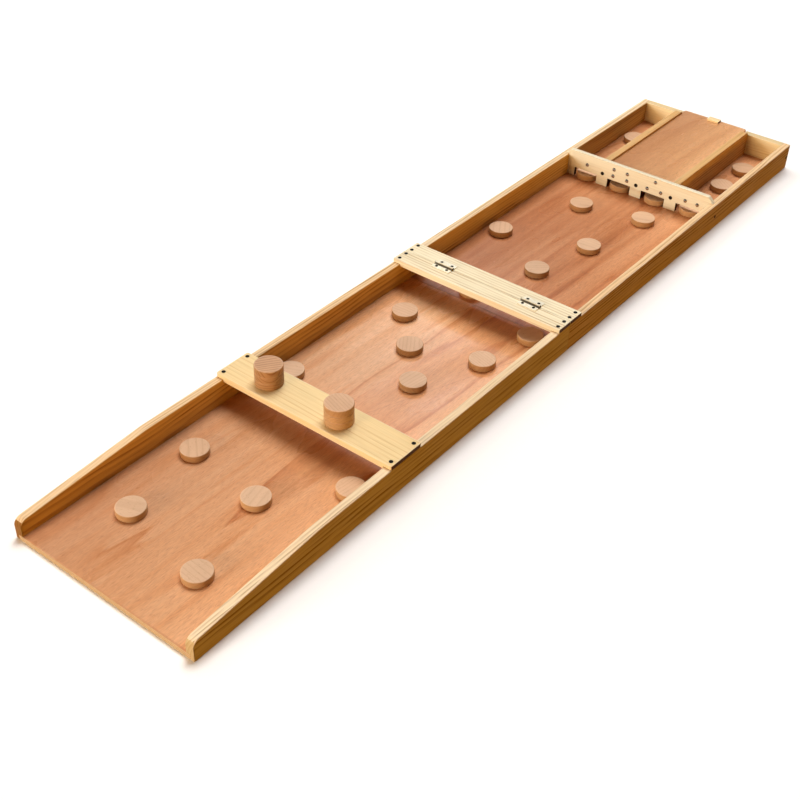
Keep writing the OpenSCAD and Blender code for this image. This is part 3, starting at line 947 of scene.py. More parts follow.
@dataclass
class Workshop:
    """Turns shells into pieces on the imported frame.

    Args:
        materials: every material, by the name of its finish.
    """

    materials: dict[str, bpy.types.Material]

    def piece(
        self,
        name: str,
        shells: list[Shell],
        finishes: list[str],
        body: str,
        node: str,
        slot: str,
        grain: Grain | None = None,
        second: Faces = Faces.EDGES,
        tone: float = 0.0,
    ) -> None:
        """Makes one piece and sets it on its body.

        Args:
            name: the piece's name.
            shells: its closed surfaces.
            finishes: its finish, and its second finish where it has one.
            body: the body it rides on.
            node: the node it stands for.
            slot: the name of the slot for its finish; not used.
            grain: how its wood was cut; None for a metal.
            second: the faces that take the second finish.
            tone: its place between the pale and the dark tone of its wood.
        """
        shift = np.cumsum([0] + [len(s.points) for s in shells[:-1]])
        faces, takes = [], []
        for start, shell in zip(shift, shells):
            for group, normal in zip((shell.quads, shell.caps), shell.normals()):
                faces += (group + start).tolist()
                along = np.abs(normal @ np.array(second.value)) > LOOKS_ALONG
                takes.append(~along if second is Faces.EDGES else along)
        points = np.concatenate([s.points for s in shells]) * MM
        mesh = bpy.data.meshes.new(name)
        mesh.from_pydata(points.tolist(), [], faces)
        for finish in finishes:
            mesh.materials.append(self.materials[finish])
        if len(finishes) > 1:
            mesh.polygons.foreach_set("material_index", np.concatenate(takes).astype(np.int32))
        wood = np.concatenate([grain.coordinates(s.points) if grain else s.points * MM for s in shells])
        mesh.attributes.new("wood", "FLOAT_VECTOR", "POINT").data.foreach_set("vector", wood.ravel())
        for key, values in (("worn", np.concatenate([s.marks for s in shells])),
                            ("tone", np.full(len(points), float(tone)))):
            mesh.attributes.new(key, "FLOAT", "POINT").data.foreach_set("value", values)
        mesh.shade_smooth()
        mesh.set_sharp_from_angle(angle=math.radians(SHARP_EDGE))
        made = in_scene(name, mesh)
        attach(made, body)
        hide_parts(node)
        LOG.info("%s: %d points, stands for %s", name, len(points), node)

    def dress(self, node: str, finish: str) -> None:
        """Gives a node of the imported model, kept as it is, a finish.

        Args:
            node: the node.
            finish: the name of the finish.
        """
        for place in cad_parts[node].material_slots:
            place.material = self.materials[finish]
        LOG.info("%s: kept, finish %s", node, finish)


@dataclass
class Assembly:
    """A part of the board that is built and dressed as one.

    Args:
        shop: the workshop that makes its pieces.
    """

    shop: Workshop


@dataclass
class Rails(Assembly):
    """The four rails, rabbeted for the panels; the front ones slope down to a rounded nose.

    Args:
        rabbet: width of the rabbet.
        slope_start: where the front rails begin to slope.
        slope_foot: where the last section before the nose stands.
        front_level: where the first and last sections of a front rail's level part stand.
        rear_level: the same of a rear rail.
        nose_height: height of the slope's line at the rail's end.
        nose_radius: radius of the nose.
        nose_arc: angles on the nose's circle of its first and last sections, in radians.
        arris: radius of the two upper arrises.
        outer_foot: radius of the lower outer arris.
        inner_corner: radius of the rabbet's corners.
        ease: width of the eased ends.
        support: distance from the eased ends to the points that keep the flats flat.
    """

    rabbet: float = 5.0
    slope_start: float = -436.0
    slope_foot: float = -580.0
    front_level: tuple[float, float] = (-380.0, -60.0)
    rear_level: tuple[float, float] = (60.0, 540.0)
    nose_height: float = 24.0
    nose_radius: float = 9.0
    nose_arc: tuple[float, float] = (1.2, 0.08)
    arris: float = 0.9
    outer_foot: float = 0.7
    inner_corner: float = 0.3
    ease: float = 0.5
    support: float = 0.6

    def height(self, y: Array, top: float, end: float) -> Array:
        """Height of a front rail's top.

        Level to the start of the slope, then straight to the nose circle's tangent, then the circle
        z = c + sqrt(r r - (y - m)(y - m)).

        Args:
            y: places along the board.
            top: height of the level part.
            end: where the rail ends.
        Returns:
            The height at each place.
        """
        run = self.slope_start - end
        lean = math.atan((top - self.nose_height) / run)
        middle = end + self.nose_radius
        centre = self.nose_height + self.nose_radius * math.tan(lean) - self.nose_radius / math.cos(lean)
        straight = top + np.minimum(y - self.slope_start, 0) * math.tan(lean)
        tangent = middle - self.nose_radius * math.sin(lean)
        offset = np.clip(middle - y, 0, self.nose_radius)
        circle = centre + np.sqrt(self.nose_radius**2 - offset**2)
        return np.where(y < tangent, circle, straight)

    def section(self, low: Array, high: Array, side: Side, top: Array) -> Array:
        """The L-shaped section for each height of the top.

        Args:
            low: the rail's lowest corner.
            high: its highest corner.
            side: the side of the board it is on.
            top: the heights.
        Returns:
            The corners of each section, counter-clockwise, (levels, 6, 2).
        """
        inner, outer = side.inner_first(low[0], high[0])
        step, outer = inner + side.value * self.rabbet, outer - side.value * RAIL_RECESS
        x = np.array([step, outer, outer, inner, inner, step])
        z = np.array([0, 0, 1, 1, 0, 0])[None] * top[:, None]
        z = z + np.array([0, 0, 0, 0, PANEL_TOP, PANEL_TOP])
        corners = np.stack([np.broadcast_to(x, z.shape), z], axis=-1)
        return corners if side is Side.RIGHT else corners[:, ::-1]

    def rail(self, node: str, side: Side, sloped: bool) -> Shell:
        """One rail, as its section at each place along the board.

        Args:
            node: the node it stands for.
            side: the side of the board it is on.
            sloped: whether it slopes down to a nose.
        Returns:
            The closed rail.
        """
        low, high = box_of(node)
        if sloped:
            nose = low[1] + self.nose_radius * (1 - np.sin(np.linspace(*self.nose_arc, 12)))
            slope = np.linspace(self.slope_foot, self.slope_start, 8)
            stops = (*nose, *slope, *np.linspace(*self.front_level, 6))
        else:
            stops = np.linspace(*self.rear_level, 9)
        levels = Levels(low[1], high[1], self.ease, tuple(stops), self.support)
        y = levels.rows()[0]
        top = self.height(y, high[2], low[1]) if sloped else np.full(len(y), high[2])
        radii = np.array([self.inner_corner, self.outer_foot, self.arris, self.arris,
                          self.inner_corner, self.inner_corner])
        return board(self.section(low, high, side, top), levels, Plane.FRONT,
                     radii if side is Side.RIGHT else radii[::-1])

    def build(self) -> None:
        """Builds and dresses the rails."""
        for side in Side:
            word, hand = side.name.lower(), side.value
            node = f"front_{word}_rail"
            end = "rail_end" if side is Side.RIGHT else "brown_end"
            grain = Grain(Run.ALONG, (hand * -52.0, -24.0), 310.0 * hand, 0.009)
            self.shop.piece(f"{word}_launch_rail", [self.rail(node, side, True)], ["rail", end], "front_half",
                            node, "rail_pine", grain, Faces.ENDS, max(hand, 0))
            node = f"rear_{word}_rail"
            grain = Grain(Run.ALONG, (hand * 40.0, -32.0), 900.0 + 270.0 * hand, -0.008)
            self.shop.piece(f"{word}_target_rail", [self.rail(node, side, False)], ["rail", "rail_end"],
                            "rear_half", node, "rail_pine", grain, Faces.ENDS, 0.8 * max(-hand, 0))


@dataclass
class Panels(Assembly):
    """The two plywood panels, faced with reddish veneer.

    Args:
        ease: width of their eased edges.
    """

    ease: float = 0.25

    def build(self) -> None:
        """Builds and dresses both panels."""
        for half, start in (("front", 1500.0), ("rear", 5200.0)):
            node = f"{half}_panel"
            self.shop.piece(f"{half}_playing_panel", [block(node, Plane.PLAN, self.ease)],
                            [node, "panel_edge"], f"{half}_half", node, "veneered_ply",
                            Grain(Run.ALONG, (30.0, -400.0), start, 0.02))


@dataclass
class Bars(Assembly):
    """The bridge bar and the two hinge strips: their ends lie on the rails and their middles hang down.

    Args:
        shoulder: distance from the middle of the board to which a bar hangs down between the rails.
        shoulder_corner: radius of the corner between its hanging part and the rail.
        foot: radius of its lower arrises.
        corner: radius of the bridge bar's corners in plan.
        strip_corner: the same of the strips.
        ease: width of the eased arrises of the bridge bar.
        strip_ease: the same of the strips.
        support: distance from the easing to the points that keep the flats flat.
    """

    shoulder: float = 109.8
    shoulder_corner: float = 0.15
    foot: float = 0.4
    corner: float = 3.0
    strip_corner: float = 0.8
    ease: float = 1.0
    strip_ease: float = 0.6
    support: float = 0.6

    def bar(self, node: str, corner: float, ease: float) -> Shell:
        """One bar, as its front section at each place along the board.

        The half width w of the section follows the corner in plan, w = h - r + sqrt(r r - (r - d)(r - d)),
        with h the half length, r the corner's radius and d the distance to the nearer long face, at most r.

        Args:
            node: the node it stands for.
            corner: radius of its corners in plan.
            ease: width of its eased arrises.
        Returns:
            The closed bar.
        """
        low, high = box_of(node)
        inset = ease + self.support + np.linspace(0.2, max(corner - ease, 0.4), 3)
        levels = Levels(low[1], high[1], ease, (*(low[1] + inset), *(high[1] - inset[::-1])), self.support)
        y = levels.rows()[0]
        near = np.clip(np.minimum(y - low[1], high[1] - y), 0, corner)
        half = high[0] - corner + np.sqrt(corner**2 - (corner - near)**2)
        hang = np.full_like(half, self.shoulder)
        x = np.stack([-half, -hang, -hang, hang, hang, half, half, -half], axis=-1)
        z = np.array([RAIL_TOP, RAIL_TOP, low[2], low[2], RAIL_TOP, RAIL_TOP, high[2], high[2]])
        corners = np.stack([x, np.broadcast_to(z, x.shape)], axis=-1)
        hanging = [self.foot, self.shoulder_corner, self.foot]
        return board(corners, levels, Plane.FRONT, np.array([*hanging, *hanging, ease, ease]), 4)

    def build(self) -> None:
        """Builds and dresses the bar and the strips."""
        # the ends of the bar and the strips take the dark end grain, partly painted shade
        shell = self.bar("bridge_bar", self.corner, self.ease)
        self.shop.piece("bridge_bar_board", [shell], ["bar", "pale_end"], "front_half", "bridge_bar",
                        "pale_pine", Grain(Run.ACROSS, (64.0, -46.0), 120.0, 0.02), Faces.SIDES)
        for half, pith in (("front", (92.0, -40.0)), ("rear", (-84.0, -36.0))):
            node = f"{half}_hinge_strip"
            shell = self.bar(node, self.strip_corner, self.strip_ease)
            self.shop.piece(f"{half}_strip_board", [shell], ["pale", "pale_end"], f"{half}_half", node,
                            "pale_pine", Grain(Run.ACROSS, pith, 700.0), Faces.SIDES)


@dataclass
class ScoringEnd(Assembly):
    """The gate board, the wall behind it, the three dividers and the score studs.

    Args:
        groove: lowest and highest edge of the lid's groove.
        groove_depth: depth of the groove.
        divider_round: radius of a divider's upper rear corner.
        opening: width of an opening of the gate board.
        opening_top: height of the openings' tops.
        pitch: distance between the middles of the openings.
        gate_ease: width of the gate board's eased arrises.
        gate_support: distance from its easing to the points that keep its faces flat.
        corner: radius of the corners of the gate board and the dividers.
        clearance: room that the wall leaves round the lid.
        wall_foot: radius of the wall's lower corners.
        wall_top: radius of its upper corners.
        wall_notch: radius of the corners of its notch.
        wall_support: the same of the wall as gate_support of the gate board.
        slice_support: the same of a slice of a divider.
        slice_inset: distance from a slice's underside and top to its nearest sections.
        ease: width of the eased arrises of the wall, the middle divider and the dividers' tops.
        joint_ease: width of the eased arrises of a divider below its groove.
        groove_ease: the same behind the groove.
        stud_radius: radius of a stud's head.
        stud_height: height of its dome.
        shank: radius of its shank.
        shank_length: length of the shank down to where its point begins.
        point: radius and height of the end of the point.
        stud_around: number of points in a ring of a stud.
        studs: where the studs sit, across and up.
    """

    groove: tuple[float, float] = (34.3, 38.2)
    groove_depth: float = 2.2
    divider_round: float = 8.0
    opening: float = 36.0
    opening_top: float = 19.0
    pitch: float = 53.6
    gate_ease: float = 0.45
    gate_support: float = 0.5
    corner: float = 0.35
    clearance: float = 0.2
    wall_foot: float = 0.3
    wall_top: float = 0.4
    wall_notch: float = 0.2
    wall_support: float = 0.6
    slice_support: float = 0.3
    slice_inset: float = 0.9
    ease: float = 0.5
    joint_ease: float = 0.05
    groove_ease: float = 0.02
    stud_radius: float = 2.75
    stud_height: float = 1.5
    shank: float = 0.8
    shank_length: float = 4.4
    point: tuple[float, float] = (0.3, -5.0)
    stud_around: int = 24
    studs: tuple[tuple[float, float], ...] = (
        (-78.9, 28.5), (-36.3, 35.5), (-15.3, 35.5), (-36.8, 25.5), (-14.8, 25.5),
        (28.3, 38.0), (17.3, 25.5), (38.3, 25.5), (75.4, 27.0), (93.4, 27.0),
    )

    def gate_outline(self, half: float, top: float) -> Array:
        """Front outline of the gate board: the openings in its foot, then its cut top.

        Args:
            half: half its width.
            top: height of its top.
        Returns:
            The corners, counter-clockwise, (corners, 2).
        """
        foot = []
        for step in (-1.5, -0.5, 0.5, 1.5):
            left, right = step * self.pitch - self.opening / 2, step * self.pitch + self.opening / 2
            lintel = [(left, self.opening_top), (right, self.opening_top)]
            foot += [(left, PANEL_TOP), *lintel, (right, PANEL_TOP)]
        cut = half - (top - RAIL_TOP)
        return np.array([(-half, PANEL_TOP), *foot, (half, PANEL_TOP), (half, RAIL_TOP), (cut, top),
                         (-cut, top), (-half, RAIL_TOP)])

    def build_gate(self) -> None:
        """Builds and dresses the gate board."""
        low, high = box_of("gate_board")
        corners = self.gate_outline(high[0], high[2])
        levels = Levels(low[1], high[1], self.gate_ease, support=self.gate_support)
        shell = board(corners, levels, Plane.FRONT, np.full(len(corners), self.corner))
        # the faces that look along x, the openings' reveals and the board's ends, take the near-black end
        # grain as painted shade
        self.shop.piece("gate", [shell], ["gate", "gate_end"], "rear_half", "gate_board", "pale_pine",
                        Grain(Run.ACROSS, (-60.0, -25.0), 2100.0, 0.01), Faces.SIDES)

    def build_wall(self) -> None:
        """Builds and dresses the rear wall, cut down where the lid passes over it."""
        low, high = box_of("rear_wall")
        lid_low, lid_high = box_of("sliding_lid")
        notch, sill = lid_high[0] + self.clearance, lid_low[2] - self.clearance
        corners = np.array([[low[0], low[2]], [high[0], low[2]], [high[0], high[2]], [notch, high[2]],
                            [notch, sill], [-notch, sill], [-notch, high[2]], [low[0], high[2]]])
        foot, top, inside = [self.wall_foot] * 2, [self.wall_top] * 2, [self.wall_notch] * 2
        levels = Levels(low[1], high[1], self.ease, support=self.wall_support)
        shell = board(corners, levels, Plane.FRONT, np.array([*foot, *top, *inside, *top]))
        # the front and back faces take the paler copy of the pine, painted light
        self.shop.piece("end_wall", [shell], ["wall", "wall_face"], "rear_half", "rear_wall", "inner_pine",
                        Grain(Run.ACROSS, (-30.0, 50.0), 2900.0), Faces.ENDS)

    def slice_of_divider(
        self, node: str, across: tuple[float, float], rise: tuple[float, float], ease: float
    ) -> Shell:
        """A level slice of an outer divider.

        Its rear end follows the round of the upper corner, y = m + sqrt(r r - (z - c)(z - c)).

        Args:
            node: the divider's node.
            across: the x of its two long faces, in either order.
            rise: the heights of its underside and top.
            ease: width of its eased arrises.
        Returns:
            The closed slice.
        """
        low, high = box_of(node)
        bottom, top = rise
        inset = self.slice_inset
        stops = tuple(np.linspace(bottom + inset, top - inset, 3))
        levels = Levels(bottom, top, ease, stops, self.slice_support)
        z = levels.rows()[0]
        over = np.clip(z - (high[2] - self.divider_round), 0, self.divider_round)
        rear = high[1] - self.divider_round + np.sqrt(self.divider_round**2 - over**2)
        front = np.full_like(z, low[1])
        corners = np.stack([
            np.stack([np.full_like(z, x), y], axis=-1)
            for x, y in ((min(across), front), (max(across), front), (max(across), rear), (min(across), rear))
        ], axis=1)
        return board(corners, levels, Plane.PLAN, np.full(4, self.corner))

    def build_dividers(self) -> None:
        """Builds and dresses the dividers: a wall up to the groove, the groove's back and the lip over it."""
        for side in Side:
            word, hand = side.name.lower(), side.value
            node = f"{word}_divider"
            low, high = box_of(node)
            inner, outer = side.inner_first(low[0], high[0])
            back = inner + hand * self.groove_depth
            shells = [
                self.slice_of_divider(node, (inner, outer), (low[2], self.groove[0]), self.joint_ease),
                self.slice_of_divider(node, (back, outer), self.groove, self.groove_ease),
                self.slice_of_divider(node, (inner, outer), (self.groove[1], high[2]), self.ease),
            ]
            grain = Grain(Run.ALONG, (hand * 25.0, -35.0), 3300.0 + 200.0 * hand)
            self.shop.piece(f"{word}_tray_wall", shells, ["inner", "rail_end"], "rear_half", node,
                            "inner_pine", grain, Faces.ENDS)
        shell = block("middle_divider", Plane.FRONT, self.ease)
        self.shop.piece("middle_tray_wall", [shell], ["inner", "rail_end"], "rear_half", "middle_divider",
                        "inner_pine", Grain(Run.ALONG, (20.0, -30.0), 4100.0), Faces.ENDS)

    def build_studs(self) -> None:
        """Builds and dresses the domed studs: r = R sin(t) out of the board, height the circle's cap."""
        low, _ = box_of("gate_board")
        sphere = (self.stud_radius**2 + self.stud_height**2) / (2 * self.stud_height)
        t = np.linspace(0.02, math.asin(self.stud_radius / sphere), 8)
        dome = np.stack([sphere * np.sin(t), self.stud_height - sphere * (1 - np.cos(t))], axis=-1)
        below = [self.point, (self.shank, -self.shank_length), (self.shank, 0.0)]
        profile = np.concatenate([below, dome[::-1]])
        shells = []
        for x, z in self.studs:
            shell = turned(profile, np.zeros(len(profile)), self.stud_around)
            across, up, out = shell.points.T
            shell.points = np.stack([x + across, low[1] - out, z + up], axis=-1)
            shells.append(shell)
        self.shop.piece("score_nails", shells, ["nail"], "rear_half", "score_studs", "stud_steel")

    def build(self) -> None:
        """Builds and dresses the whole scoring end."""
        self.build_gate()
        self.build_wall()
        self.build_dividers()
        self.build_studs()


@dataclass
class SlidingLid(Assembly):
    """The plywood lid with its pale pull block.

    Args:
        corner: radius of the lid's rear corners.
        front_corner: radius of its front corners.
        ease: width of its eased edges.
        pull_corner: radius of the pull's corners.
        pull_ease: width of the pull's eased arrises.
        pull_support: distance from its easing to the points that keep its faces flat.
    """

    corner: float = 4.0
    front_corner: float = 0.4
    ease: float = 0.5
    pull_corner: float = 1.0
    pull_ease: float = 0.4
    pull_support: float = 0.4

    def build(self) -> None:
        """Builds and dresses the lid and its pull."""
        radii = [self.front_corner, self.front_corner, self.corner, self.corner]
        shell = block("sliding_lid", Plane.PLAN, self.ease, radii, 6)
        self.shop.piece("compartment_lid", [shell], ["lid", "lid_edge"], "lid", "sliding_lid", "veneered_ply",
                        Grain(Run.ALONG, (12.0, -300.0), 7000.0, 0.05))
        radii = [self.pull_corner] * 4
        shell = block("lid_pull", Plane.PLAN, self.pull_ease, radii, 5, self.pull_support)
        # the pull's ends take the dark end grain, partly painted shade
        self.shop.piece("pull_block", [shell], ["bar", "pale_end"], "lid", "lid_pull", "pale_pine",
                        Grain(Run.ACROSS, (10.0, -20.0), 400.0), Faces.SIDES)


@dataclass
class Pucks(Assembly):
    """The thirty turned pucks.

    Args:
        ease: radius of their arrises.
        face_support: distance from an arris to the point that keeps the flat face flat.
        side_support: the same on the upright side.
        steps: number of straight pieces in an arris.
        around: number of points in a ring.
        tones: range of their tones.
        dark: how much darker the pucks of the left stack are.
        seed: start of the draws of their cuts and tones.
    """

    ease: float = 1.0
    face_support: float = 1.0
    side_support: float = 0.8
    steps: int = 4
    around: int = 72
    tones: tuple[float, float] = (0.0, 0.35)
    dark: float = 0.45
    seed: int = 11

    def profile(self, radius: float, thickness: float) -> tuple[Array, Array]:
        """Half section of a puck: flat faces, quarter-round arrises of the easing's radius.

        Args:
            radius: the puck's radius.
            thickness: its thickness.
        Returns:
            The points (r, z) from the bottom's middle to the top's, and their arris marks.
        """
        t = np.linspace(0, math.pi / 2, self.steps + 1)
        r = radius - self.ease * (1 - np.sin(t))
        z = self.ease * (1 - np.cos(t))
        low = np.stack([np.concatenate([[radius - self.ease - self.face_support], r, [radius]]),
                        np.concatenate([[0.0], z, [self.ease + self.side_support]])], axis=-1)
        marks = np.array([0.0, *np.ones(len(t)), 0.0])
        high = low[::-1] * [1, -1] + [0, thickness]
        return np.concatenate([low, high]), np.concatenate([marks, marks[::-1]])

    def build(self) -> None:
        """Builds and dresses every puck, each with a cut and a tone of its own."""
        chance = np.random.default_rng(self.seed)
        for node in sorted(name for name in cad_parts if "_puck_" in name):
            low, high = box_of(node)
            middle = (low + high) / 2
            profile, marks = self.profile((high[0] - low[0]) / 2, high[2] - low[2])
            shell = turned(profile, marks, self.around)
            shell.points = shell.points + [middle[0], middle[1], low[2]]
            turn, beside, below, start = chance.uniform((0, -60, 15, 0), (180, 60, 70, 4000))
            tone = chance.uniform(*self.tones) + (self.dark if "left_stack" in node else 0.0)
            # the sides take the darker copy of the beech, painted shade
            self.shop.piece(f"{node}_turned", [shell], ["beech", "beech_side"], f"{node}_body", node,
                            "puck_beech", Grain(turn, (beside, -below), start, 0.03), tone=tone)


@dataclass(frozen=True)
class ScrewSet:
    """Screws of one kind.

    Args:
        name: the piece's name.
        node: the node it stands for.
        body: the body it rides on.
        head: radius of a head.
        length: length of a screw.
        proud: how far a head stands out of the face it is driven into.
        spots: the middle of each head on that face, and the direction it looks in.
    """

    name: str
    node: str
    body: str
    head: float
    length: float
    proud: float
    spots: tuple[tuple[Place, Place], ...]


@dataclass
class Fittings(Assembly):
    """The black countersunk screws, and the hinges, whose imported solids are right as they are.

    Args:
        head: radius of the heads in the bars and the rails.
        gate_head: radius of the heads in the gate board.
        short: length of the screws in the bars.
        long: length of the others.
        proud: how far the heads stand out.
        flush: the same in the rails.
        shank: radius of a shank.
        point: length of a screw's point.
        arm: length of an arm of the cross recess, from the middle, as a share of the head's radius.
        arm_half: half the width of an arm, as such a share.
        arm_edge: width of the recess's sloping edge, as such a share.
        sunk: depth of the recess, as a share of how far the head stands out.
        around: number of points in a ring.
        seed: start of the draws of how far each screw is turned.
    """

    head: float = 2.3
    gate_head: float = 2.7
    short: float = 16.0
    long: float = 20.0
    proud: float = 0.32
    flush: float = 0.22
    shank: float = 1.3
    point: float = 3.0
    arm: float = 0.56
    arm_half: float = 0.13
    arm_edge: float = 0.12
    sunk: float = 0.8
    around: int = 48
    seed: int = 5

    def sets(self) -> list[ScrewSet]:
        """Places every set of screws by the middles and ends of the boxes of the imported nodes.

        Returns:
            The sets.
        """
        found = []
        head = self.head
        for name, node, body in (("bridge_screws", "bridge_bar_screws", "front_half"),
                                 ("launch_strip_screws", "front_strip_screws", "front_half"),
                                 ("target_strip_screws", "rear_strip_screws", "rear_half")):
            low, high = box_of(node)
            spots = tuple(((x, y, high[2]), (0.0, 0.0, 1.0)) for x in (low[0] + head, high[0] - head)
                          for y in (low[1] + head, high[1] - head))
            found.append(ScrewSet(name, node, body, head, self.short, self.proud, spots))
        low, high = box_of("gate_screws")
        xs = (low[0] + self.gate_head, (low[0] + high[0]) / 2, high[0] - self.gate_head)
        spots = tuple(((x, low[1], (low[2] + high[2]) / 2), (0.0, -1.0, 0.0)) for x in xs)
        found.append(ScrewSet("gate_board_screws", "gate_screws", "rear_half", self.gate_head, self.long,
                              self.proud, spots))
        low, high = box_of("rail_screws")
        spots = tuple(
            ((side.value * (high[0] - RAIL_RECESS), y, (low[2] + high[2]) / 2), (side.value, 0.0, 0.0))
            for side in Side for y in (low[1] + head, high[1] - head)
        )
        found.append(ScrewSet("rail_side_screws", "rail_screws", "rear_half", head, self.long,
                              self.flush, spots))
        return found

    def screw(self, kind: ScrewSet, turn: float) -> Shell:
        """One screw pointing down from z = 0, as rings from its tip to the middle of its head.

        Over the head the height is proud - d s(u), with d the recess's depth and s(u) falling from 1 to 0
        across its edge; u is the lesser of max(|x| - a, |y| - w) and max(|y| - a, |x| - w), for arms a long
        and 2 w wide.

        Args:
            kind: the set it belongs to.
            turn: how far it is turned, in radians.
        Returns:
            The closed screw.
        """
        head, proud = kind.head, kind.proud
        angle = np.linspace(0, 2 * math.pi, self.around, endpoint=False)
        below = np.array([[0.05, -kind.length], [self.shank, -kind.length + self.point],
                          [self.shank, -(head - self.shank)], [head - 0.02, -0.05], [head, proud - 0.06],
                          [head - 0.07, proud]])
        inward = np.concatenate([np.linspace(head - 0.25, 0.1 * head, 22), [0.02]])
        radius = np.concatenate([below[:, 0], inward])[:, None]
        height = np.concatenate([below[:, 1], np.full(len(inward), proud)])[:, None] + 0 * angle
        x, y = np.abs(radius * np.cos(angle + turn)), np.abs(radius * np.sin(angle + turn))
        arm, half = self.arm * head, self.arm_half * head
        edge = np.minimum(np.maximum(x - arm, y - half), np.maximum(y - arm, x - half))
        on_head = (np.arange(len(radius)) >= len(below))[:, None]
        fall = np.clip(0.5 - edge / (self.arm_edge * head), 0, 1) * on_head
        height = height - self.sunk * proud * fall * fall * (3 - 2 * fall)
        rings = np.stack([radius * np.cos(angle), radius * np.sin(angle), height], axis=-1)
        return loft(rings, np.zeros(rings.shape[:2]))

    def build(self) -> None:
        """Builds and dresses the screws and gives the hinges their metals."""
        chance = np.random.default_rng(self.seed)
        for kind in self.sets():
            shells = []
            for spot, out in kind.spots:
                shell = self.screw(kind, chance.uniform(0, math.pi))
                spin = np.array(Vector(out).to_track_quat("Z", "Y").to_matrix())
                shell.points = shell.points @ spin.T + np.array(spot)
                shells.append(shell)
            self.shop.piece(kind.name, shells, ["black"], kind.body, kind.node, "black_steel")
        for leaf in ("front_leaf", "rear_leaf"):
            for side in Side:
                self.shop.dress(f"{side.name.lower()}_hinge_{leaf}", "plated")
        for node in ("hinge_pins", "hinge_front_screws", "hinge_rear_screws"):
            self.shop.dress(node, "hinge_screw")


# Studio

@dataclass(frozen=True)
class Sun:
    """A far soft lamp that is not mirrored in the board.

    Args:
        name: the lamp's name.
        towards: the direction in which it stands from the board.
        strength: its strength.
        width: how wide it looks, in degrees.
        colour: its colour.
    """

    name: str
    towards: Place
    strength: float
    width: float
    colour: Colour = (1.0, 1.0, 1.0)

    def hang(self) -> None:
        """Hangs the lamp."""
        data = bpy.data.lights.new(self.name, "SUN")
        data.energy = self.strength
        data.angle = math.radians(self.width)
        data.color = self.colour
        made = in_scene(self.name, data)
        made.rotation_euler = Vector(self.towards).to_track_quat("Z", "Y").to_euler()
        made.visible_glossy = False


@dataclass(frozen=True)
class Softbox:
    """A near rectangular lamp that looks down and is mirrored in the varnish.

    Args:
        name: the lamp's name.
        place: where it hangs, in metres.
        size: its width and length in metres.
        power: its power in watts.
    """

    name: str
    place: Place
    size: tuple[float, float]
    power: float

    def hang(self) -> None:
        """Hangs the lamp."""
        data = bpy.data.lights.new(self.name, "AREA")
        data.shape = "RECTANGLE"
        data.size, data.size_y = self.size
        data.energy = self.power
        in_scene(self.name, data).location = self.place


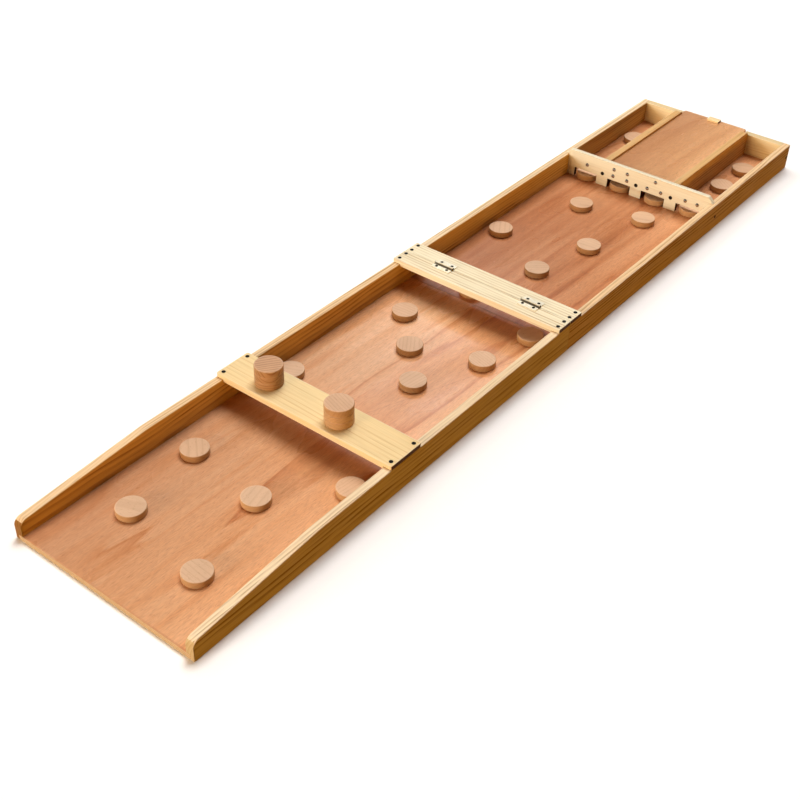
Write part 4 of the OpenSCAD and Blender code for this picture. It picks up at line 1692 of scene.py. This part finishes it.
@dataclass
class Studio:
    """The floor, the surroundings, the lamps and the camera.

    Args:
        floor_half: half the floor's width in metres.
        floor_shown: the floor's grey where it is seen.
        floor_bounce: its colour for the light that it throws back.
        ambient: strength of the surroundings' light on the board.
        ambient_colour: colour of that light.
        ceiling: grey of the ceiling in reflections.
        horizon: the height in the sky where white begins to turn to the ceiling's grey, and where it ends.
        camera_place: where the camera stands, in metres.
        camera_azimuth: the way it looks, in degrees to the left of the Y axis.
        camera_elevation: how far it looks down, in degrees.
        camera_roll: how far it is rolled, in degrees.
        camera_lens: its focal length in millimetres.
        suns: the far lamps.
        glare: the near lamp.
    """

    floor_half: float = 8.0
    floor_shown: float = 0.97
    floor_bounce: Colour = (0.03, 0.012, 0.001)
    ambient: float = 0.03
    ambient_colour: Colour = (1.0, 0.30, 0.02)
    ceiling: float = 0.05
    horizon: tuple[float, float] = (0.15, 0.40)
    camera_place: Place = (0.67381, -1.04554, 0.83519)
    camera_azimuth: float = 37.2718
    camera_elevation: float = 38.1046
    camera_roll: float = 1.6314
    camera_lens: float = 55.530
    suns: tuple[Sun, ...] = (
        Sun("overhead_lamp", (-0.15, 0.45, 1.0), 2.8, 34.0),
        Sun("left_lamp", (-0.75, 0.20, 1.0), 0.70, 50.0, (1.0, 0.9, 0.75)),
        Sun("front_lamp", (-0.2, -0.96, 0.20), 2.2, 24.0, (1.0, 0.66, 0.36)),
        Sun("low_lamp", (-0.34, -0.94, 0.10), 1.5, 14.0, (0.9, 0.95, 0.95)),
        Sun("side_lamp", (1.0, -0.2, 0.06), 1.04, 14.0, (1.0, 0.46, 0.02)),
    )
    glare: Softbox = Softbox("glare_lamp", (-0.68, 0.88, 1.0), (0.25, 0.5), 3.2)

    def build_floor(self) -> None:
        """Lays the floor: pale to the eye and to reflections, darker to the light it throws back."""
        half = self.floor_half
        mesh = bpy.data.meshes.new("studio_floor")
        corners = [(-half, -half, 0), (half, -half, 0), (half, half, 0), (-half, half, 0)]
        mesh.from_pydata(corners, [], [(0, 1, 2, 3)])
        g = Graph(bpy.data.materials.new("floor_paint"))
        speckle = g.noise(g.place(), (300.0, 300.0, 300.0))
        mesh.materials.append(g.surface({
            "Base Color": g.blend(g.shown(), self.floor_bounce, (self.floor_shown,) * 3),
            "Roughness": g.curve(speckle, [(0.3, 0.9), (0.7, 1.0)]),
            "Specular IOR Level": 0.0,
        }))
        in_scene("studio_floor", mesh)

    def build_world(self) -> None:
        """Sets the surroundings: white at the horizon, a dim ceiling above, and little light on the board."""
        world = bpy.data.worlds.new("studio")
        bpy.context.scene.world = world
        g = Graph(world)
        rise = g.node("ShaderNodeMapRange", {
            "Value": g.axis(g.place("Generated"), "Z"),
            "From Min": self.horizon[0],
            "From Max": self.horizon[1],
            "To Min": 1.0,
            "To Max": self.ceiling,
        })
        white = g.node("ShaderNodeBackground", {"Color": (1.0, 1.0, 1.0, 1.0), "Strength": rise.outputs[0]})
        dim = g.node("ShaderNodeBackground", {"Color": (*self.ambient_colour, 1.0), "Strength": self.ambient})
        mix = g.node("ShaderNodeMixShader", {0: g.shown(), 1: dim.outputs[0], 2: white.outputs[0]})
        g.node("ShaderNodeOutputWorld", {"Surface": mix.outputs[0]})

    def build_camera(self) -> None:
        """Stands the camera at the photograph's viewpoint."""
        azimuth, elevation, roll = map(
            math.radians, (self.camera_azimuth, self.camera_elevation, self.camera_roll)
        )
        ahead = Vector((-math.sin(azimuth) * math.cos(elevation), math.cos(azimuth) * math.cos(elevation),
                        -math.sin(elevation)))
        level = ahead.cross(Vector((0, 0, 1))).normalized()
        up = level.cross(ahead)
        right = level * math.cos(roll) + up * math.sin(roll)
        above = up * math.cos(roll) - level * math.sin(roll)
        data = bpy.data.cameras.new("studio_camera")
        data.lens = self.camera_lens
        data.sensor_width = 36.0
        data.sensor_fit = "HORIZONTAL"
        data.clip_start, data.clip_end = 0.05, 60.0
        made = in_scene("studio_camera", data)
        turn = Matrix((right, above, -ahead)).transposed().to_4x4()
        made.matrix_world = Matrix.Translation(self.camera_place) @ turn
        bpy.context.scene.camera = made

    def build(self) -> None:
        """Sets up the whole studio."""
        bpy.context.scene.view_settings.view_transform = "Standard"
        self.build_floor()
        self.build_world()
        lamps = (*self.suns, self.glare)
        for lamp in lamps:
            lamp.hang()
        self.build_camera()
        LOG.info("studio: %d lamps and the camera", len(lamps))


def main() -> None:
    """Builds the studio and the board."""
    logging.basicConfig(level=logging.INFO, format="%(name)s: %(message)s")
    Studio().build()
    shop = Workshop(Finishes().made())
    for assembly in (Panels, Rails, Bars, ScoringEnd, SlidingLid, Pucks, Fittings):
        assembly(shop).build()


if __name__ == "__main__":
    main()
